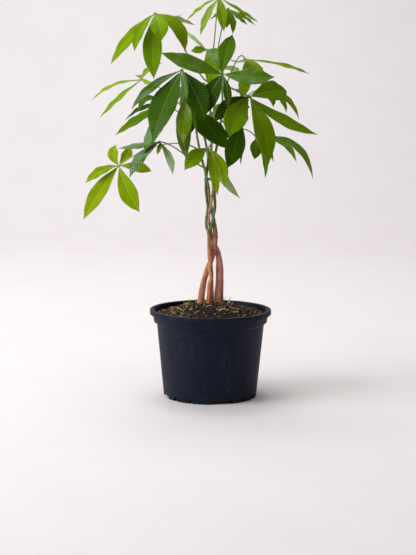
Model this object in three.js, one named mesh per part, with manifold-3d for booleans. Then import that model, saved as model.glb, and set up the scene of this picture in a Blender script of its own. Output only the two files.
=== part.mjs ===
// A braided money tree in a round nursery pot. Lengths are millimetres, +Z is up, -Y is the
// front, and the origin is the centre of the pot's flat base.
import * as THREE from "three";
import { mergeVertices } from "three/addons/utils/BufferGeometryUtils.js";
import Module from "manifold-3d";

const wasm = await Module();
wasm.setup();

// ---- Driving dimensions ----

const GAP = 0.35; // between pieces that touch on the real plant

const POT = {
  height: 115.5,
  baseRadius: 61.4,
  shoulderRadius: 70.8, // top of the tapered body, where the collar steps out
  shoulderHeight: 97,
  collarLowRadius: 74.8,
  collarLowHeight: 99.6,
  collarHighRadius: 76,
  lipRadius: 80,
  lipThickness: 6.2,
  chamfer: 1,
  wall: 1.6,
  floor: 1.8,
  segments: 40,
};

// Drainage notches in the corner of the base. Angles are degrees from +X, and lengths run along the rim.
const NOTCH = { height: 5.5, depth: 7 };
const WIDE_NOTCHES = { length: 29, angles: [-75.5, 14.5, 104.5, 194.5] };
const SMALL_NOTCHES = { length: 5, angles: [-137, -114, -47, -24, 43, 66, 133, 156] };

const SOIL = {
  heap: [
    [0, 124],
    [14, 123],
    [28, 120],
    [42, 116],
    [56, 111.5],
    [66, 108.5],
  ], // the heaped surface's height at a radius
  edgeHeight: 107,
  innerRing: 5,
  crumb: 0.9, // height of the surface's crumbs
  stemFoot: 100, // height of the foot of the holes that the stems stand in
};

const STEM_SIDES = 8;
const TIE = { row: 179, band: 2.8, thickness: 0.9, clearance: 0.5, sides: 16 };
const PETIOLE = { rootRadius: 1.3, hubRadius: 0.8, sides: 5, steps: 7, lead: 3 };
const HUB_RADIUS = 2;

const BLADE = {
  thickness: 0.8,
  fold: 0.2, // rise of the edge over the midrib, as a share of the half width
  stations: [0, 0.14, 0.36, 0.6, 0.83, 1],
};

// How far a stalk's middle or a leaflet's tip may be bent, in depth and in height, to pass clear of
// its neighbours. The smallest bend that is clear is taken.
const BEND_DEPTHS = [0, -7, 7, -14, 14, -21, 21, -28, 28, -35, 35];
const BEND_LIFTS = [0, 6, -6, 12, -12];

const TINTS = { lime: 0x8fae12, fresh: 0x6c9412, mature: 0x4a7a10, deep: 0x2f6410 };

// ---- Places read by eye from the reference photograph ----

// The photograph's viewpoint. A reading is [column, row, depth]: pixels of the photograph, and
// millimetres along +Y behind the pot's axis.
const PHOTO = {
  middleColumn: 208,
  middleRow: 277.5,
  focalPixels: 1393,
  pitch: 7.98, // degrees downwards
  roll: 0.35, // degrees
  eye: [-3.6, -1817, 412],
};

// Each stem's centreline, bottom to top, as [column, row, depth, radius]. They pass over and under
// each other as a loose braid up to the tie, and spread above it.
const STEMS = {
  left: [
    [200.4, 306, 0, 5],
    [200.6, 302, 0, 4.8],
    [203.6, 283, 1.8, 3.9],
    [206.5, 272, 3.7, 3.6],
    [209.5, 264, 4.7, 3.4],
    [212.3, 257, 4, 3.2],
    [214, 250, -0.6, 3.1],
    [215, 243, -3, 3.2],
    [215.3, 234, -2, 3.2],
    [214.8, 227, 1.6, 2.8],
    [213.6, 220, 4, 2.3],
    [212.3, 213, 5.2, 2],
    [210.8, 205, 3, 2],
    [209.3, 197, 0.8, 1.9],
    [208.8, 190, -0.5, 1.8],
    [207.8, 184, -2, 1.8],
    [206.5, 178, -2, 1.8],
    [205, 170, -3, 1.8],
    [202.5, 162, -4, 1.7],
    [200, 151, -3, 1.6],
    [197.5, 139, 0, 1.5],
    [196, 126, 2, 1.4],
    [195.5, 112, 3, 1.3],
  ],
  middle: [
    [208.5, 306, -6, 3.4],
    [208.8, 301, -6, 3.3],
    [209.5, 286, -5.5, 3],
    [211, 278, -5.2, 2.9],
    [210.9, 272, -5, 3.2],
    [210.2, 262.6, -5, 3],
    [209.5, 252.4, -4, 2.8],
    [209, 243, -4.8, 2.3],
    [208.6, 232, -5, 2.1],
    [206.8, 228, -2.5, 2],
    [206.2, 222, 0.5, 1.9],
    [207.1, 215, 1.6, 1.9],
    [207.8, 209, 3, 1.9],
    [207.8, 205, 4.8, 1.9],
    [207.2, 200, 5, 1.9],
    [206, 190, 4.5, 1.8],
    [206, 183, 3.5, 1.8],
    [206, 178, 3, 1.8],
    [207.5, 168, 3, 1.7],
    [208, 158, 4, 1.6],
    [206.5, 147, 5, 1.5],
    [204.5, 135, 5, 1.4],
    [203.5, 119, 6, 1.3],
  ],
  right: [
    [218, 306, 2, 7],
    [218.5, 300, 2, 6.5],
    [219, 292, 2, 5.7],
    [219.5, 281, 2, 5.3],
    [219.5, 266, 3, 4.6],
    [218.5, 256, 5, 3.8],
    [216.5, 248.5, 6.5, 3.2],
    [213, 243, 6, 2.7],
    [211, 238, 2, 2.2],
    [210.5, 233, -1, 2],
    [211.5, 226, -3, 1.9],
    [213, 218, -3, 1.9],
    [214.5, 210, -2, 1.9],
    [215, 203, -0.5, 1.9],
    [214.5, 196, 1, 1.9],
    [214, 188, 2.5, 1.9],
    [213.5, 180, 3, 1.8],
    [213.5, 171, 4, 1.8],
    [214.5, 159, 5, 1.7],
    [217, 145, 6, 1.6],
    [219.5, 131, 6, 1.5],
    [221.5, 117, 4, 1.4],
    [222.5, 103, 2, 1.3],
    [222, 88, 2, 1.2],
  ],
  back: [
    [212.5, 304, 8.5, 1.9],
    [212.5, 297, 8.5, 1.8],
    [212.5, 289, 9, 1.7],
    [212, 280, 10.5, 1.7],
    [210.5, 269, 12.5, 1.7],
    [210.5, 258, 13, 1.7],
    [211, 250, 13, 1.7],
    [211.5, 243, 12, 1.7],
    [211.5, 237, 8.5, 1.7],
    [211, 231, 4.5, 1.7],
    [209.5, 225, 1.5, 1.7],
    [209, 218, -1.5, 1.7],
    [209.5, 211, -3, 1.7],
    [211, 204, -3.5, 1.7],
    [212, 197, -3.5, 1.7],
    [213, 190, -2.5, 1.7],
    [213, 184, -2, 1.7],
    [212, 178, -1.5, 1.7],
    [211.5, 169, -1.5, 1.7],
    [211, 157, -1, 1.6],
    [211.5, 141, 0, 1.6],
    [211, 124, -2, 1.5],
    [210, 107, -1, 1.4],
    [209.5, 91, 0, 1.3],
    [209.5, 75, 0, 1.2],
    [209.5, 60, 0, 1.1],
  ],
};

// The palmate leaves, with the ones that show most first. Each grows from a stem at a row of the
// photograph, and its leaflets spread from the hub at the end of its stalk. face is the side that
// the upper surfaces turn to, and arch lifts the stalk's middle. A leaflet has its tip's reading,
// its width, the bow of its midrib's middle as [x, y, z], and its roll about its chord in degrees.
const LEAVES = [
  {
    name: "low_left",
    stem: "left",
    row: 150,
    hub: [119, 165.5, -8],
    face: [-0.25, -0.95, 0.2],
    arch: 25,
    tint: "lime",
    leaflets: [
      { tip: [83.5, 219.5, -30], width: 21, bow: [-2.5, -3, 1.6] },
      { tip: [139.5, 212, -32], width: 24, bow: [-2, -3, -2.3] },
      { tip: [85.5, 183, -18], width: 15, bow: [-2, -2, 4], roll: 25 },
      { tip: [116, 144.5, 12], width: 14, bow: [-5.7, -2, 0], roll: 10 },
      { tip: [131, 147, 10], width: 13, bow: [1.5, -2, 1], roll: 10 },
      { tip: [151.5, 171.5, -12], width: 14, bow: [3, -2, 2], roll: -10 },
    ],
  },
  {
    name: "front_left",
    stem: "left",
    row: 128,
    hub: [182, 70, -50],
    face: [-0.3, -0.75, 0.6],
    tint: "deep",
    leaflets: [
      { tip: [152.5, 139, -84], width: 37, bow: [-3, -7, 1] },
      { tip: [131.5, 109, -72], width: 13, bow: [-5, -3, 3.6], roll: -5 },
      { tip: [205, 119, -78], width: 30, bow: [3, -6, 0] },
      { tip: [187, 101, -92], width: 9, bow: [0, -4, 1] },
    ],
  },
  {
    name: "front_mid",
    stem: "right",
    row: 108,
    hub: [222.5, 74, -58],
    face: [-0.1, -0.75, 0.65],
    tint: "deep",
    leaflets: [
      { tip: [160.5, 52.5, -78], width: 23, bow: [1, -4, -1.3], roll: -8 },
      { tip: [274.5, 77, -82], width: 23, bow: [1, -4, -2], roll: 10 },
      { tip: [199, 120, -88], width: 27, bow: [-1, -7, 3] },
      { tip: [232.5, 34.5, -18], width: 21, bow: [-1.5, -4, 3] },
      { tip: [207, 49.5, -14], width: 23, bow: [3, -4, 6] },
      { tip: [227.5, 111, -86], width: 10, bow: [3, -5, 1] },
    ],
  },
  {
    name: "front_right",
    stem: "right",
    row: 122,
    hub: [249.5, 96.5, -56],
    face: [0.3, -0.75, 0.6],
    tint: "mature",
    leaflets: [
      { tip: [268.5, 164.5, -88], width: 28, bow: [5, -6, 1] },
      { tip: [317.5, 134.5, -60], width: 16, bow: [-2, -3, -5], roll: 10 },
      { tip: [229.5, 137, -86], width: 29, bow: [-4, -6, 1] },
      { tip: [287, 91, -14], width: 30, bow: [4, -3, 3], roll: 3 },
      { tip: [228.5, 86.5, -70], width: 12, bow: [1, -2, -1], roll: 60 },
      { tip: [214, 122, -74], width: 20, bow: [-3, -5, 4] },
    ],
  },
  {
    name: "bud",
    stem: "middle",
    row: 118,
    hub: [187.5, 93.5, -72],
    face: [-0.1, -0.9, 0.4],
    tint: "fresh",
    leaflets: [
      { tip: [183, 143, -78], width: 20, bow: [-1, -5, 0] },
      { tip: [186.5, 159.5, -52], width: 19, bow: [-4, -4, 0] },
      { tip: [196, 131, -62], width: 7, bow: [1, -2, 0], roll: 30 },
    ],
  },
  {
    name: "top_left",
    stem: "back",
    row: 82,
    hub: [155, 13.5, -10],
    face: [-0.15, -0.6, 0.8],
    tint: "fresh",
    leaflets: [
      { tip: [154, 79, -34], width: 25, bow: [-2, -12, 0] },
      { tip: [110.5, 64.5, -8], width: 16, bow: [-3, -4, 2.6], roll: -15 },
      { tip: [134.5, 51.5, -44], width: 15, bow: [-5.5, -6, 3] },
      { tip: [185, 52, -24], width: 18, bow: [9, -5, 7] },
      { tip: [162, 40, -44], width: 22, bow: [1.5, -9, 1] },
      { tip: [195, 25, 24], width: 10, bow: [1, 2, 1], roll: -55 },
      { tip: [182, 14, 52], width: 4, bow: [0, 4, -5], roll: -30 },
    ],
  },
  {
    name: "top",
    stem: "back",
    row: 62,
    hub: [219.5, -3, 0],
    face: [0.05, -0.5, 0.85],
    tint: "fresh",
    leaflets: [
      { tip: [186.8, 20.5, -10], width: 6, bow: [-1.8, -2, 2.4], roll: 5 },
      { tip: [200.3, 35.5, -22], width: 11, bow: [-2.9, -4, 1.5], roll: 15 },
      { tip: [224, 31.5, -34], width: 14, bow: [0, -6, 1] },
      { tip: [258.5, 22, -8], width: 9, bow: [1, -2, -1.5], roll: -5 },
      { tip: [238, -13, 40], width: 14, bow: [1, 3, 4] },
      { tip: [205, -15, 38], width: 13, bow: [-1, 3, 4] },
    ],
  },
  {
    name: "top_right",
    stem: "back",
    row: 78,
    hub: [228, 9, -14],
    face: [0.2, -0.45, 0.85],
    tint: "mature",
    leaflets: [
      { tip: [232.7, 34, -28], width: 9, bow: [2.5, -5, 1] },
      { tip: [226.8, 28, -30], width: 9, bow: [0, -5, 0] },
      { tip: [247.5, 24.7, -24], width: 9, bow: [0, -3, 0] },
      { tip: [255.5, 25.5, -10], width: 8, bow: [1, -1, 1.3] },
      { tip: [210, 19.2, -26], width: 5, bow: [0, -1, 1] },
    ],
  },
  {
    name: "mid_left",
    stem: "left",
    row: 113,
    hub: [141.5, 79.5, 6],
    face: [-0.15, -0.25, 0.95],
    tint: "fresh",
    leaflets: [
      { tip: [91.5, 100.5, 0], width: 14, bow: [-4.5, -2, 5.5] },
      { tip: [100, 117.5, -30], width: 12, bow: [-1, -4, 1.5] },
      { tip: [149, 84, -38], width: 7, bow: [2, 0, -1], roll: 10 },
      { tip: [163, 62.5, 42], width: 13, bow: [-2.9, 2, 3.6] },
      { tip: [138, 76.5, 34], width: 8, bow: [-1, 0, 3] },
    ],
  },
  {
    name: "low_mid_left",
    stem: "middle",
    row: 168,
    hub: [159.5, 142, -36],
    face: [-0.45, -0.6, 0.65],
    tint: "deep",
    leaflets: [
      { tip: [129.5, 177.5, -66], width: 20, bow: [-3.5, -4, 3.5] },
      { tip: [118.5, 148.5, -26], width: 10, bow: [0, -2, 0], roll: 180 },
      { tip: [157, 154.5, -56], width: 7, bow: [1.5, -2, 0] },
      { tip: [172.5, 174.5, -56], width: 10, bow: [4, -3, 1], roll: 180 },
    ],
  },
  {
    name: "low_front",
    stem: "middle",
    row: 158,
    hub: [207.5, 148, -36],
    face: [0.1, -0.85, 0.5],
    tint: "fresh",
    leaflets: [
      { tip: [184.5, 170.5, -58], width: 20, bow: [-1, -4, 3] },
      { tip: [217.5, 195.5, -46], width: 12, bow: [1.5, -4, 0], roll: 10 },
      { tip: [224, 187.5, -56], width: 12, bow: [8, -3, 3.2], roll: 20 },
      { tip: [240, 198.5, -20], width: 15, bow: [-2.5, 2, -2], roll: 165 },
      { tip: [213, 140.5, -56], width: 6, bow: [1, -2, 0] },
    ],
  },
  {
    name: "right_high",
    stem: "right",
    row: 92,
    hub: [245, 59, 6],
    face: [0.25, -0.3, 0.92],
    arch: 18,
    tint: "fresh",
    leaflets: [
      { tip: [309.5, 74, -4], width: 11, bow: [7, -2, 1.8], roll: 5 },
      { tip: [255, 85, -40], width: 24, bow: [4, -4, 6] },
      { tip: [241, 100.5, 20], width: 17, bow: [2.5, 2, 0], roll: 60 },
      { tip: [230.5, 59, 40], width: 12, bow: [0, 2, -4] },
      { tip: [258, 67, 58], width: 12, bow: [0, 2, 0] },
    ],
  },
  {
    name: "low_right",
    stem: "right",
    row: 141,
    hub: [256.5, 138, 4],
    face: [0.4, -0.4, 0.8],
    arch: 20,
    tint: "mature",
    leaflets: [
      { tip: [313, 179, -18], width: 10, bow: [12.6, -2, 17.4], roll: 30 },
      { tip: [296.5, 162.5, -34], width: 10, bow: [6.8, -3, 11], roll: 30 },
      { tip: [265, 178.5, -24], width: 7, bow: [5, -4, 1], roll: 50 },
      { tip: [254.5, 159.5, -34], width: 16, bow: [0, -4, 1] },
      { tip: [273.5, 162, 6], width: 12, bow: [3, 2, 3] },
    ],
  },
  {
    name: "mid_back_left",
    stem: "middle",
    row: 132,
    hub: [167, 107, -4],
    face: [-0.35, -0.45, 0.8],
    tint: "deep",
    leaflets: [
      { tip: [143.5, 151.5, -46], width: 24, bow: [1, -5, 0] },
      { tip: [115.5, 135, -14], width: 16, bow: [-3, -3, 2.4], roll: -10 },
      { tip: [138.5, 111, -22], width: 14, bow: [-5, -3, 14], roll: -5 },
      { tip: [125, 120.5, 10], width: 9, bow: [-3, -2, 8], roll: -10 },
      { tip: [132.5, 118.5, 36], width: 7, bow: [-1, 0, 3], roll: -10 },
    ],
  },
  {
    name: "centre",
    stem: "middle",
    row: 124,
    hub: [193, 107, -42],
    face: [0.2, -0.8, 0.55],
    tint: "deep",
    leaflets: [
      { tip: [229.5, 149, -62], width: 30, bow: [-1, -6, -1] },
      { tip: [209, 139, -38], width: 9, bow: [-4, -2, -3], roll: 40 },
      { tip: [190, 135, -34], width: 22, bow: [-3, -4, 0] },
    ],
  },
  {
    name: "behind_right",
    stem: "right",
    row: 112,
    hub: [264, 88, 14],
    face: [0.35, -0.35, 0.85],
    tint: "fresh",
    leaflets: [
      { tip: [273.5, 107, -2], width: 15, bow: [2, -2, 3] },
      { tip: [286.5, 112.5, -4], width: 13, bow: [5.2, -3, 4.7] },
      { tip: [299, 119.5, 6], width: 7, bow: [6.5, -2, 7], roll: 50 },
      { tip: [281, 91, 66], width: 16, bow: [1, 2, 4] },
      { tip: [256, 76, 60], width: 15, bow: [-1, 2, 4] },
    ],
  },
  {
    name: "right_low_dark",
    stem: "right",
    row: 132,
    hub: [241, 121, -18],
    face: [0.1, -0.8, 0.6],
    tint: "deep",
    leaflets: [
      { tip: [227, 168.5, -42], width: 25, bow: [2, -6, 0] },
      { tip: [240.5, 165, -12], width: 5, bow: [1, -3, 0] },
      { tip: [225, 139, -30], width: 16, bow: [0, -4, 2] },
    ],
  },
  {
    name: "behind_high",
    stem: "back",
    row: 92,
    hub: [207, 50, -8],
    face: [-0.1, -0.4, 0.9],
    tint: "fresh",
    leaflets: [
      { tip: [184, 30, 26], width: 6, bow: [0, 2, 0], roll: 100 },
      { tip: [190.8, 51.3, -10], width: 11, bow: [0, -2, 1], roll: -35 },
      { tip: [209.5, 87, -30], width: 9, bow: [-1, -4, 4] },
      { tip: [210.5, 87, -44], width: 16, bow: [5, -5, 2] },
    ],
  },
  {
    name: "back_left",
    stem: "back",
    row: 104,
    hub: [190, 86, 52],
    face: [-0.35, 0.55, 0.75],
    tint: "mature",
    leaflets: [
      { tip: [168, 108, 84], width: 26, bow: [-3, 3, 5] },
      { tip: [189, 119, 100], width: 28, bow: [0, 8, 5] },
      { tip: [207, 105, 112], width: 26, bow: [1, 6, 5] },
      { tip: [204, 94, 112], width: 20, bow: [1, 4, 4] },
      { tip: [170, 98, 76], width: 18, bow: [-1, 2, 2] },
    ],
  },
  {
    name: "back_right",
    stem: "right",
    row: 102,
    hub: [238, 112, 50],
    face: [0.3, 0.6, 0.75],
    tint: "mature",
    leaflets: [
      { tip: [244, 126, 84], width: 20, bow: [0, 6, 4] },
      { tip: [228, 134, 88], width: 24, bow: [-1, 8, 4] },
      { tip: [214, 116, 96], width: 24, bow: [-3, 6, 5] },
      { tip: [226, 100, 100], width: 18, bow: [0, 4, 4] },
      { tip: [247, 110, 70], width: 18, bow: [1, 2, 4] },
    ],
  },
  {
    name: "back_low",
    stem: "middle",
    row: 140,
    hub: [199, 122, 40],
    face: [-0.2, 0.7, 0.65],
    tint: "mature",
    leaflets: [
      { tip: [186, 134, 84], width: 20, bow: [-1, 4, 4] },
      { tip: [208, 134, 96], width: 24, bow: [1, 8, 5] },
      { tip: [219, 118, 92], width: 22, bow: [3, 6, 5] },
      { tip: [184, 112, 92], width: 22, bow: [-3, 5, 4] },
    ],
  },
  {
    name: "back_high",
    stem: "back",
    row: 84,
    hub: [222, 66, 44],
    face: [0.15, 0.5, 0.85],
    tint: "fresh",
    leaflets: [
      { tip: [238, 74, 90], width: 18, bow: [1, 4, 2] },
      { tip: [210, 88, 96], width: 20, bow: [-2, 8, 4] },
      { tip: [201, 66, 84], width: 18, bow: [-3, 4, 2] },
      { tip: [227, 50, 76], width: 16, bow: [0, 4, 4] },
    ],
  },
];

const X_AXIS = new THREE.Vector3(1, 0, 0);
const Y_AXIS = new THREE.Vector3(0, 1, 0);

/** The place in millimetres of a reading. */
function seen([column, row, depth]) {
  const eye = new THREE.Vector3(...PHOTO.eye);
  const sight = new THREE.Vector3(column - PHOTO.middleColumn, PHOTO.focalPixels, PHOTO.middleRow - row)
    .applyAxisAngle(Y_AXIS, -THREE.MathUtils.degToRad(PHOTO.roll))
    .applyAxisAngle(X_AXIS, -THREE.MathUtils.degToRad(PHOTO.pitch));
  return eye.addScaledVector(sight, (depth - PHOTO.eye[1]) / sight.y);
}

/** The height above the base of a row of the photograph, at the stems. */
function heightAt(row) {
  return seen([PHOTO.middleColumn, row, 0]).z;
}

// ---- Solids and curves ----

/** The closed solid that manifold-3d works on, from a geometry. */
function solidOf(geometry) {
  const bare = geometry.clone();
  bare.deleteAttribute("normal");
  bare.deleteAttribute("uv");
  const merged = mergeVertices(bare, 1e-4);
  return new wasm.Manifold(
    new wasm.Mesh({
      numProp: 3,
      vertProperties: merged.attributes.position.array,
      triVerts: new Uint32Array(merged.index.array),
    }),
  );
}

/** The drawable geometry of a solid. */
function geometryOf(solid) {
  const mesh = solid.getMesh();
  const geometry = new THREE.BufferGeometry();
  geometry.setAttribute("position", new THREE.BufferAttribute(mesh.vertProperties, 3));
  geometry.setIndex(new THREE.BufferAttribute(mesh.triVerts, 1));
  geometry.computeVertexNormals();
  return geometry;
}

/**
 * A closed skin over rings of points, with a fan across each end. Each ring turns by the
 * right-hand rule about the way from the first ring to the last. The sides listed in
 * turnedSides have their four-cornered faces cut along the other diagonal.
 */
function skin(rings, turnedSides = []) {
  const sides = rings[0].length;
  const faces = [];
  for (let i = 0; i + 1 < rings.length; i++) {
    for (let j = 0; j < sides; j++) {
      const next = (j + 1) % sides;
      const [a, b] = [i * sides + j, i * sides + next];
      const [c, d] = [b + sides, a + sides];
      if (turnedSides.includes(j)) faces.push(a, b, d, b, c, d);
      else faces.push(a, b, c, a, c, d);
    }
  }
  const last = (rings.length - 1) * sides;
  for (let j = 1; j + 1 < sides; j++) {
    faces.push(0, j + 1, j);
    faces.push(last, last + j, last + j + 1);
  }
  const corners = rings.flat().flatMap((corner) => corner.toArray());
  const geometry = new THREE.BufferGeometry();
  geometry.setAttribute("position", new THREE.Float32BufferAttribute(corners, 3));
  geometry.setIndex(faces);
  return geometry;
}

/** A round tube through points, with a radius at each and its rings kept from twisting. */
function tube(points, radii, sides) {
  const across = new THREE.Vector3(1, 0, 0);
  const rings = points.map((point, i) => {
    const before = points[Math.max(i - 1, 0)];
    const after = points[Math.min(i + 1, points.length - 1)];
    const along = after.clone().sub(before).normalize();
    if (i === 0 && Math.abs(along.x) > Math.abs(along.y)) across.copy(Y_AXIS);
    across.addScaledVector(along, -across.dot(along)).normalize();
    const upright = along.clone().cross(across);
    return Array.from({ length: sides }, (_, j) => {
      const angle = (2 * Math.PI * j) / sides;
      return point
        .clone()
        .addScaledVector(across, radii[i] * Math.cos(angle))
        .addScaledVector(upright, radii[i] * Math.sin(angle));
    });
  });
  return skin(rings);
}

/** The value at a position in a list of [position, value] pairs, with straight lines between them. */
function valueAt(pairs, position) {
  for (let i = 1; i < pairs.length; i++) {
    const [from, low] = pairs[i - 1];
    const [to, high] = pairs[i];
    if (position <= to) return low + ((high - low) * (position - from)) / (to - from);
  }
  return pairs.at(-1)[1];
}

// ---- Pot ----

/** The inside of the pot's wall below its lip, top to bottom, moved in by a clearance. */
function innerProfile(clearance) {
  const inset = POT.wall + clearance;
  return [
    [POT.collarLowRadius - inset, POT.collarLowHeight + POT.wall],
    [POT.shoulderRadius - inset, POT.shoulderHeight + clearance],
    [POT.baseRadius - inset, POT.floor + clearance],
  ];
}

/** The pot's outline as [radius, height], from the middle of its base round to its inner floor. */
function potProfile() {
  const lipBottom = POT.height - POT.lipThickness;
  const mouthRadius = POT.collarHighRadius - POT.wall;
  return [
    [0, 0],
    [POT.baseRadius - POT.chamfer, 0],
    [POT.baseRadius, POT.chamfer],
    [POT.shoulderRadius, POT.shoulderHeight],
    [POT.collarLowRadius, POT.collarLowHeight],
    [POT.collarHighRadius, lipBottom],
    [POT.lipRadius - POT.chamfer, lipBottom],
    [POT.lipRadius, lipBottom + POT.chamfer],
    [POT.lipRadius, POT.height - POT.chamfer],
    [POT.lipRadius - POT.chamfer, POT.height],
    [mouthRadius + POT.chamfer, POT.height],
    [mouthRadius, POT.height - POT.chamfer],
    ...innerProfile(0),
    [0, POT.floor],
  ];
}

function potGeometry() {
  const outline = potProfile().map(([radius, height]) => new THREE.Vector2(radius, height));
  const turned = new THREE.LatheGeometry(outline, POT.segments).rotateX(Math.PI / 2);
  let solid = solidOf(turned);
  for (const { length, angles } of [WIDE_NOTCHES, SMALL_NOTCHES]) {
    for (const angle of angles) {
      const cutter = new THREE.BoxGeometry(2 * NOTCH.depth, length, 2 * NOTCH.height)
        .translate(POT.baseRadius, 0, 0)
        .rotateZ(THREE.MathUtils.degToRad(angle));
      solid = solid.subtract(solidOf(cutter));
    }
  }
  return geometryOf(solid);
}

// ---- Soil ----

/** The crumbly surface's height at a point. */
function soilHeight(x, y) {
  const crumbs =
    Math.sin(0.61 * x + 1.3 * Math.sin(0.37 * y)) * Math.cos(0.53 * y - 0.9 * Math.sin(0.29 * x));
  return valueAt(SOIL.heap, Math.hypot(x, y)) + SOIL.crumb * crumbs;
}

/** The heaped soil, shaped by the pot's inside, with the holes that the stems stand in. */
function soilGeometry() {
  const ring = (radius, height) =>
    Array.from({ length: POT.segments }, (_, j) => {
      const angle = (2 * Math.PI * j) / POT.segments;
      const [x, y] = [radius * Math.cos(angle), radius * Math.sin(angle)];
      return new THREE.Vector3(x, y, height ?? soilHeight(x, y));
    });
  const wall = innerProfile(GAP).reverse();
  const [edgeRadius] = wall.at(-1);
  const surface = SOIL.heap.map(([radius]) => Math.max(radius, SOIL.innerRing)).reverse();
  const rings = [
    ...wall.map(([radius, height]) => ring(radius, height)),
    ring(edgeRadius, SOIL.edgeHeight),
    ...surface.map((radius) => ring(radius)),
  ];
  const holes = Object.keys(STEMS).map((side) => solidOf(stemGeometry(side, GAP)));
  return geometryOf(holes.reduce((soil, hole) => soil.subtract(hole), solidOf(skin(rings))));
}

// ---- Stems and tie ----

/** A stem's centreline points, from its foot in the soil, and the radius at each. */
function stemRoute(side) {
  const stations = STEMS[side];
  const points = stations.map((station) => seen(station));
  const foot = points[0].clone().setZ(SOIL.stemFoot);
  const radii = stations.map(([, , , radius]) => radius);
  return { points: [foot, ...points], radii: [radii[0], ...radii] };
}

/** A stem as a tapered tube, or the hole that it stands in when grown by a clearance. */
function stemGeometry(side, clearance = 0) {
  const { points, radii } = stemRoute(side);
  points[0].z -= clearance;
  return tube(
    points,
    radii.map((radius) => radius + clearance),
    STEM_SIDES,
  );
}

/** A stem's centre and radius at a height. */
function stemAt(side, height) {
  const { points, radii } = stemRoute(side);
  const read = (value) => valueAt(points.map((point, i) => [point.z, value(point, i)]), height);
  return {
    centre: new THREE.Vector3(read((point) => point.x), read((point) => point.y), height),
    radius: read((_, i) => radii[i]),
  };
}

/** The outline that a taut band takes round circles of [x, y, radius]. */
function bandOutline(circles) {
  const points = circles.flatMap(([x, y, radius]) =>
    Array.from({ length: TIE.sides }, (_, j) => {
      const angle = (2 * Math.PI * j) / TIE.sides;
      return new THREE.Vector2(x + radius * Math.cos(angle), y + radius * Math.sin(angle));
    }),
  );
  points.sort((a, b) => a.x - b.x || a.y - b.y);
  const turn = (o, a, b) => a.clone().sub(o).cross(b.clone().sub(o));
  const straight = 0.02;
  const chain = (ordered) => {
    const kept = [];
    for (const point of ordered) {
      while (kept.length > 1 && turn(kept.at(-2), kept.at(-1), point) <= straight) kept.pop();
      kept.push(point);
    }
    return kept.slice(0, -1);
  };
  return [...chain(points), ...chain([...points].reverse())];
}

function tieGeometry() {
  const height = heightAt(TIE.row);
  const around = (growth) =>
    bandOutline(
      Object.keys(STEMS).map((side) => {
        const { centre, radius } = stemAt(side, height);
        return [centre.x, centre.y, radius + growth];
      }),
    );
  const outline = new THREE.Shape(around(TIE.clearance + TIE.thickness));
  outline.holes.push(new THREE.Path(around(TIE.clearance)));
  const band = new THREE.ExtrudeGeometry(outline, { depth: TIE.band, bevelEnabled: false });
  return band.translate(0, 0, height - TIE.band / 2);
}

// ---- Leaves ----

/** A leaflet's half width along its midrib, as a share of its greatest. */
function outlineAt(t) {
  return 0.08 + 0.92 * Math.sin(Math.PI * t ** 1.15) ** 1.1;
}

/**
 * One leaflet, folded a little along its midrib, from its hub to its bent tip. growth thickens
 * it on every side, for testing what it passes.
 */
function bladeGeometry(leaf, leaflet, bend, growth = 0) {
  const { tip, width, bow, roll = 0 } = leaflet;
  const hub = seen(leaf.hub);
  const end = seen([tip[0], tip[1], tip[2] + bend.y]).setZ(seen(tip).z + bend.z);
  const control = hub.clone().lerp(end, 0.5).addScaledVector(new THREE.Vector3(...bow), 2);
  const midrib = new THREE.QuadraticBezierCurve3(hub, control, end);
  const chord = end.clone().sub(hub).normalize();
  const face = new THREE.Vector3(...leaf.face);
  face.addScaledVector(chord, -face.dot(chord));
  face.applyAxisAngle(chord, THREE.MathUtils.degToRad(roll));
  const rings = BLADE.stations.map((t) => {
    const point = midrib.getPoint(t);
    const along = midrib.getTangent(t);
    const normal = face.clone().addScaledVector(along, -face.dot(along)).normalize();
    const side = along.clone().cross(normal);
    const half = (width / 2) * outlineAt(t) + growth;
    const thick = BLADE.thickness / 2 + growth;
    const corner = (across, above) =>
      point
        .clone()
        .addScaledVector(side, across * half)
        .addScaledVector(normal, Math.abs(across) * BLADE.fold * half + above * thick);
    return [corner(0, 1), corner(1, 1), corner(1, -1), corner(0, -1), corner(-1, -1), corner(-1, 1)];
  });
  return skin(rings, [2, 3]); // both faces are cut into triangles alike
}

/** A leaf's stalk, from just off its stem's bark to its hub. */
function petioleGeometry(leaf, bend, growth = 0) {
  const { centre, radius } = stemAt(leaf.stem, heightAt(leaf.row));
  const hub = seen(leaf.hub);
  const outward = hub.clone().sub(centre).setZ(0);
  const reach = outward.length();
  outward.normalize();
  const root = centre.clone().addScaledVector(outward, radius + GAP);
  const lift = new THREE.Vector3(0, 0, leaf.arch ?? 0).add(bend);
  const leaving = root.clone().addScaledVector(outward, PETIOLE.lead + reach / 4).add(lift);
  leaving.lerp(root.clone().setZ(root.z + 0.3 * (hub.z - root.z)), 0.2);
  const arriving = hub.clone().addScaledVector(outward, -0.3 * reach).add(lift);
  const path = new THREE.CubicBezierCurve3(root, leaving, arriving, hub);
  const points = path.getPoints(PETIOLE.steps);
  const lead = root.clone().addScaledVector(outward, PETIOLE.lead / 2);
  const radii = [root, lead, ...points.slice(1)].map((_, i) => {
    const taper = Math.min(1, i / 3);
    return THREE.MathUtils.lerp(PETIOLE.rootRadius, PETIOLE.hubRadius, taper) + growth;
  });
  return tube([root, lead, ...points.slice(1)], radii, PETIOLE.sides);
}

/** The first obstacle of another owner that a solid shares space with. */
function blocker(solid, owner, obstacles) {
  const box = solid.boundingBox();
  return obstacles.find((obstacle) => {
    if (obstacle.owner === owner) return false;
    const apart = [0, 1, 2].some(
      (axis) => box.min[axis] > obstacle.box.max[axis] || box.max[axis] < obstacle.box.min[axis],
    );
    return !apart && solid.intersect(obstacle.solid).volume() > 0;
  });
}

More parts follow.
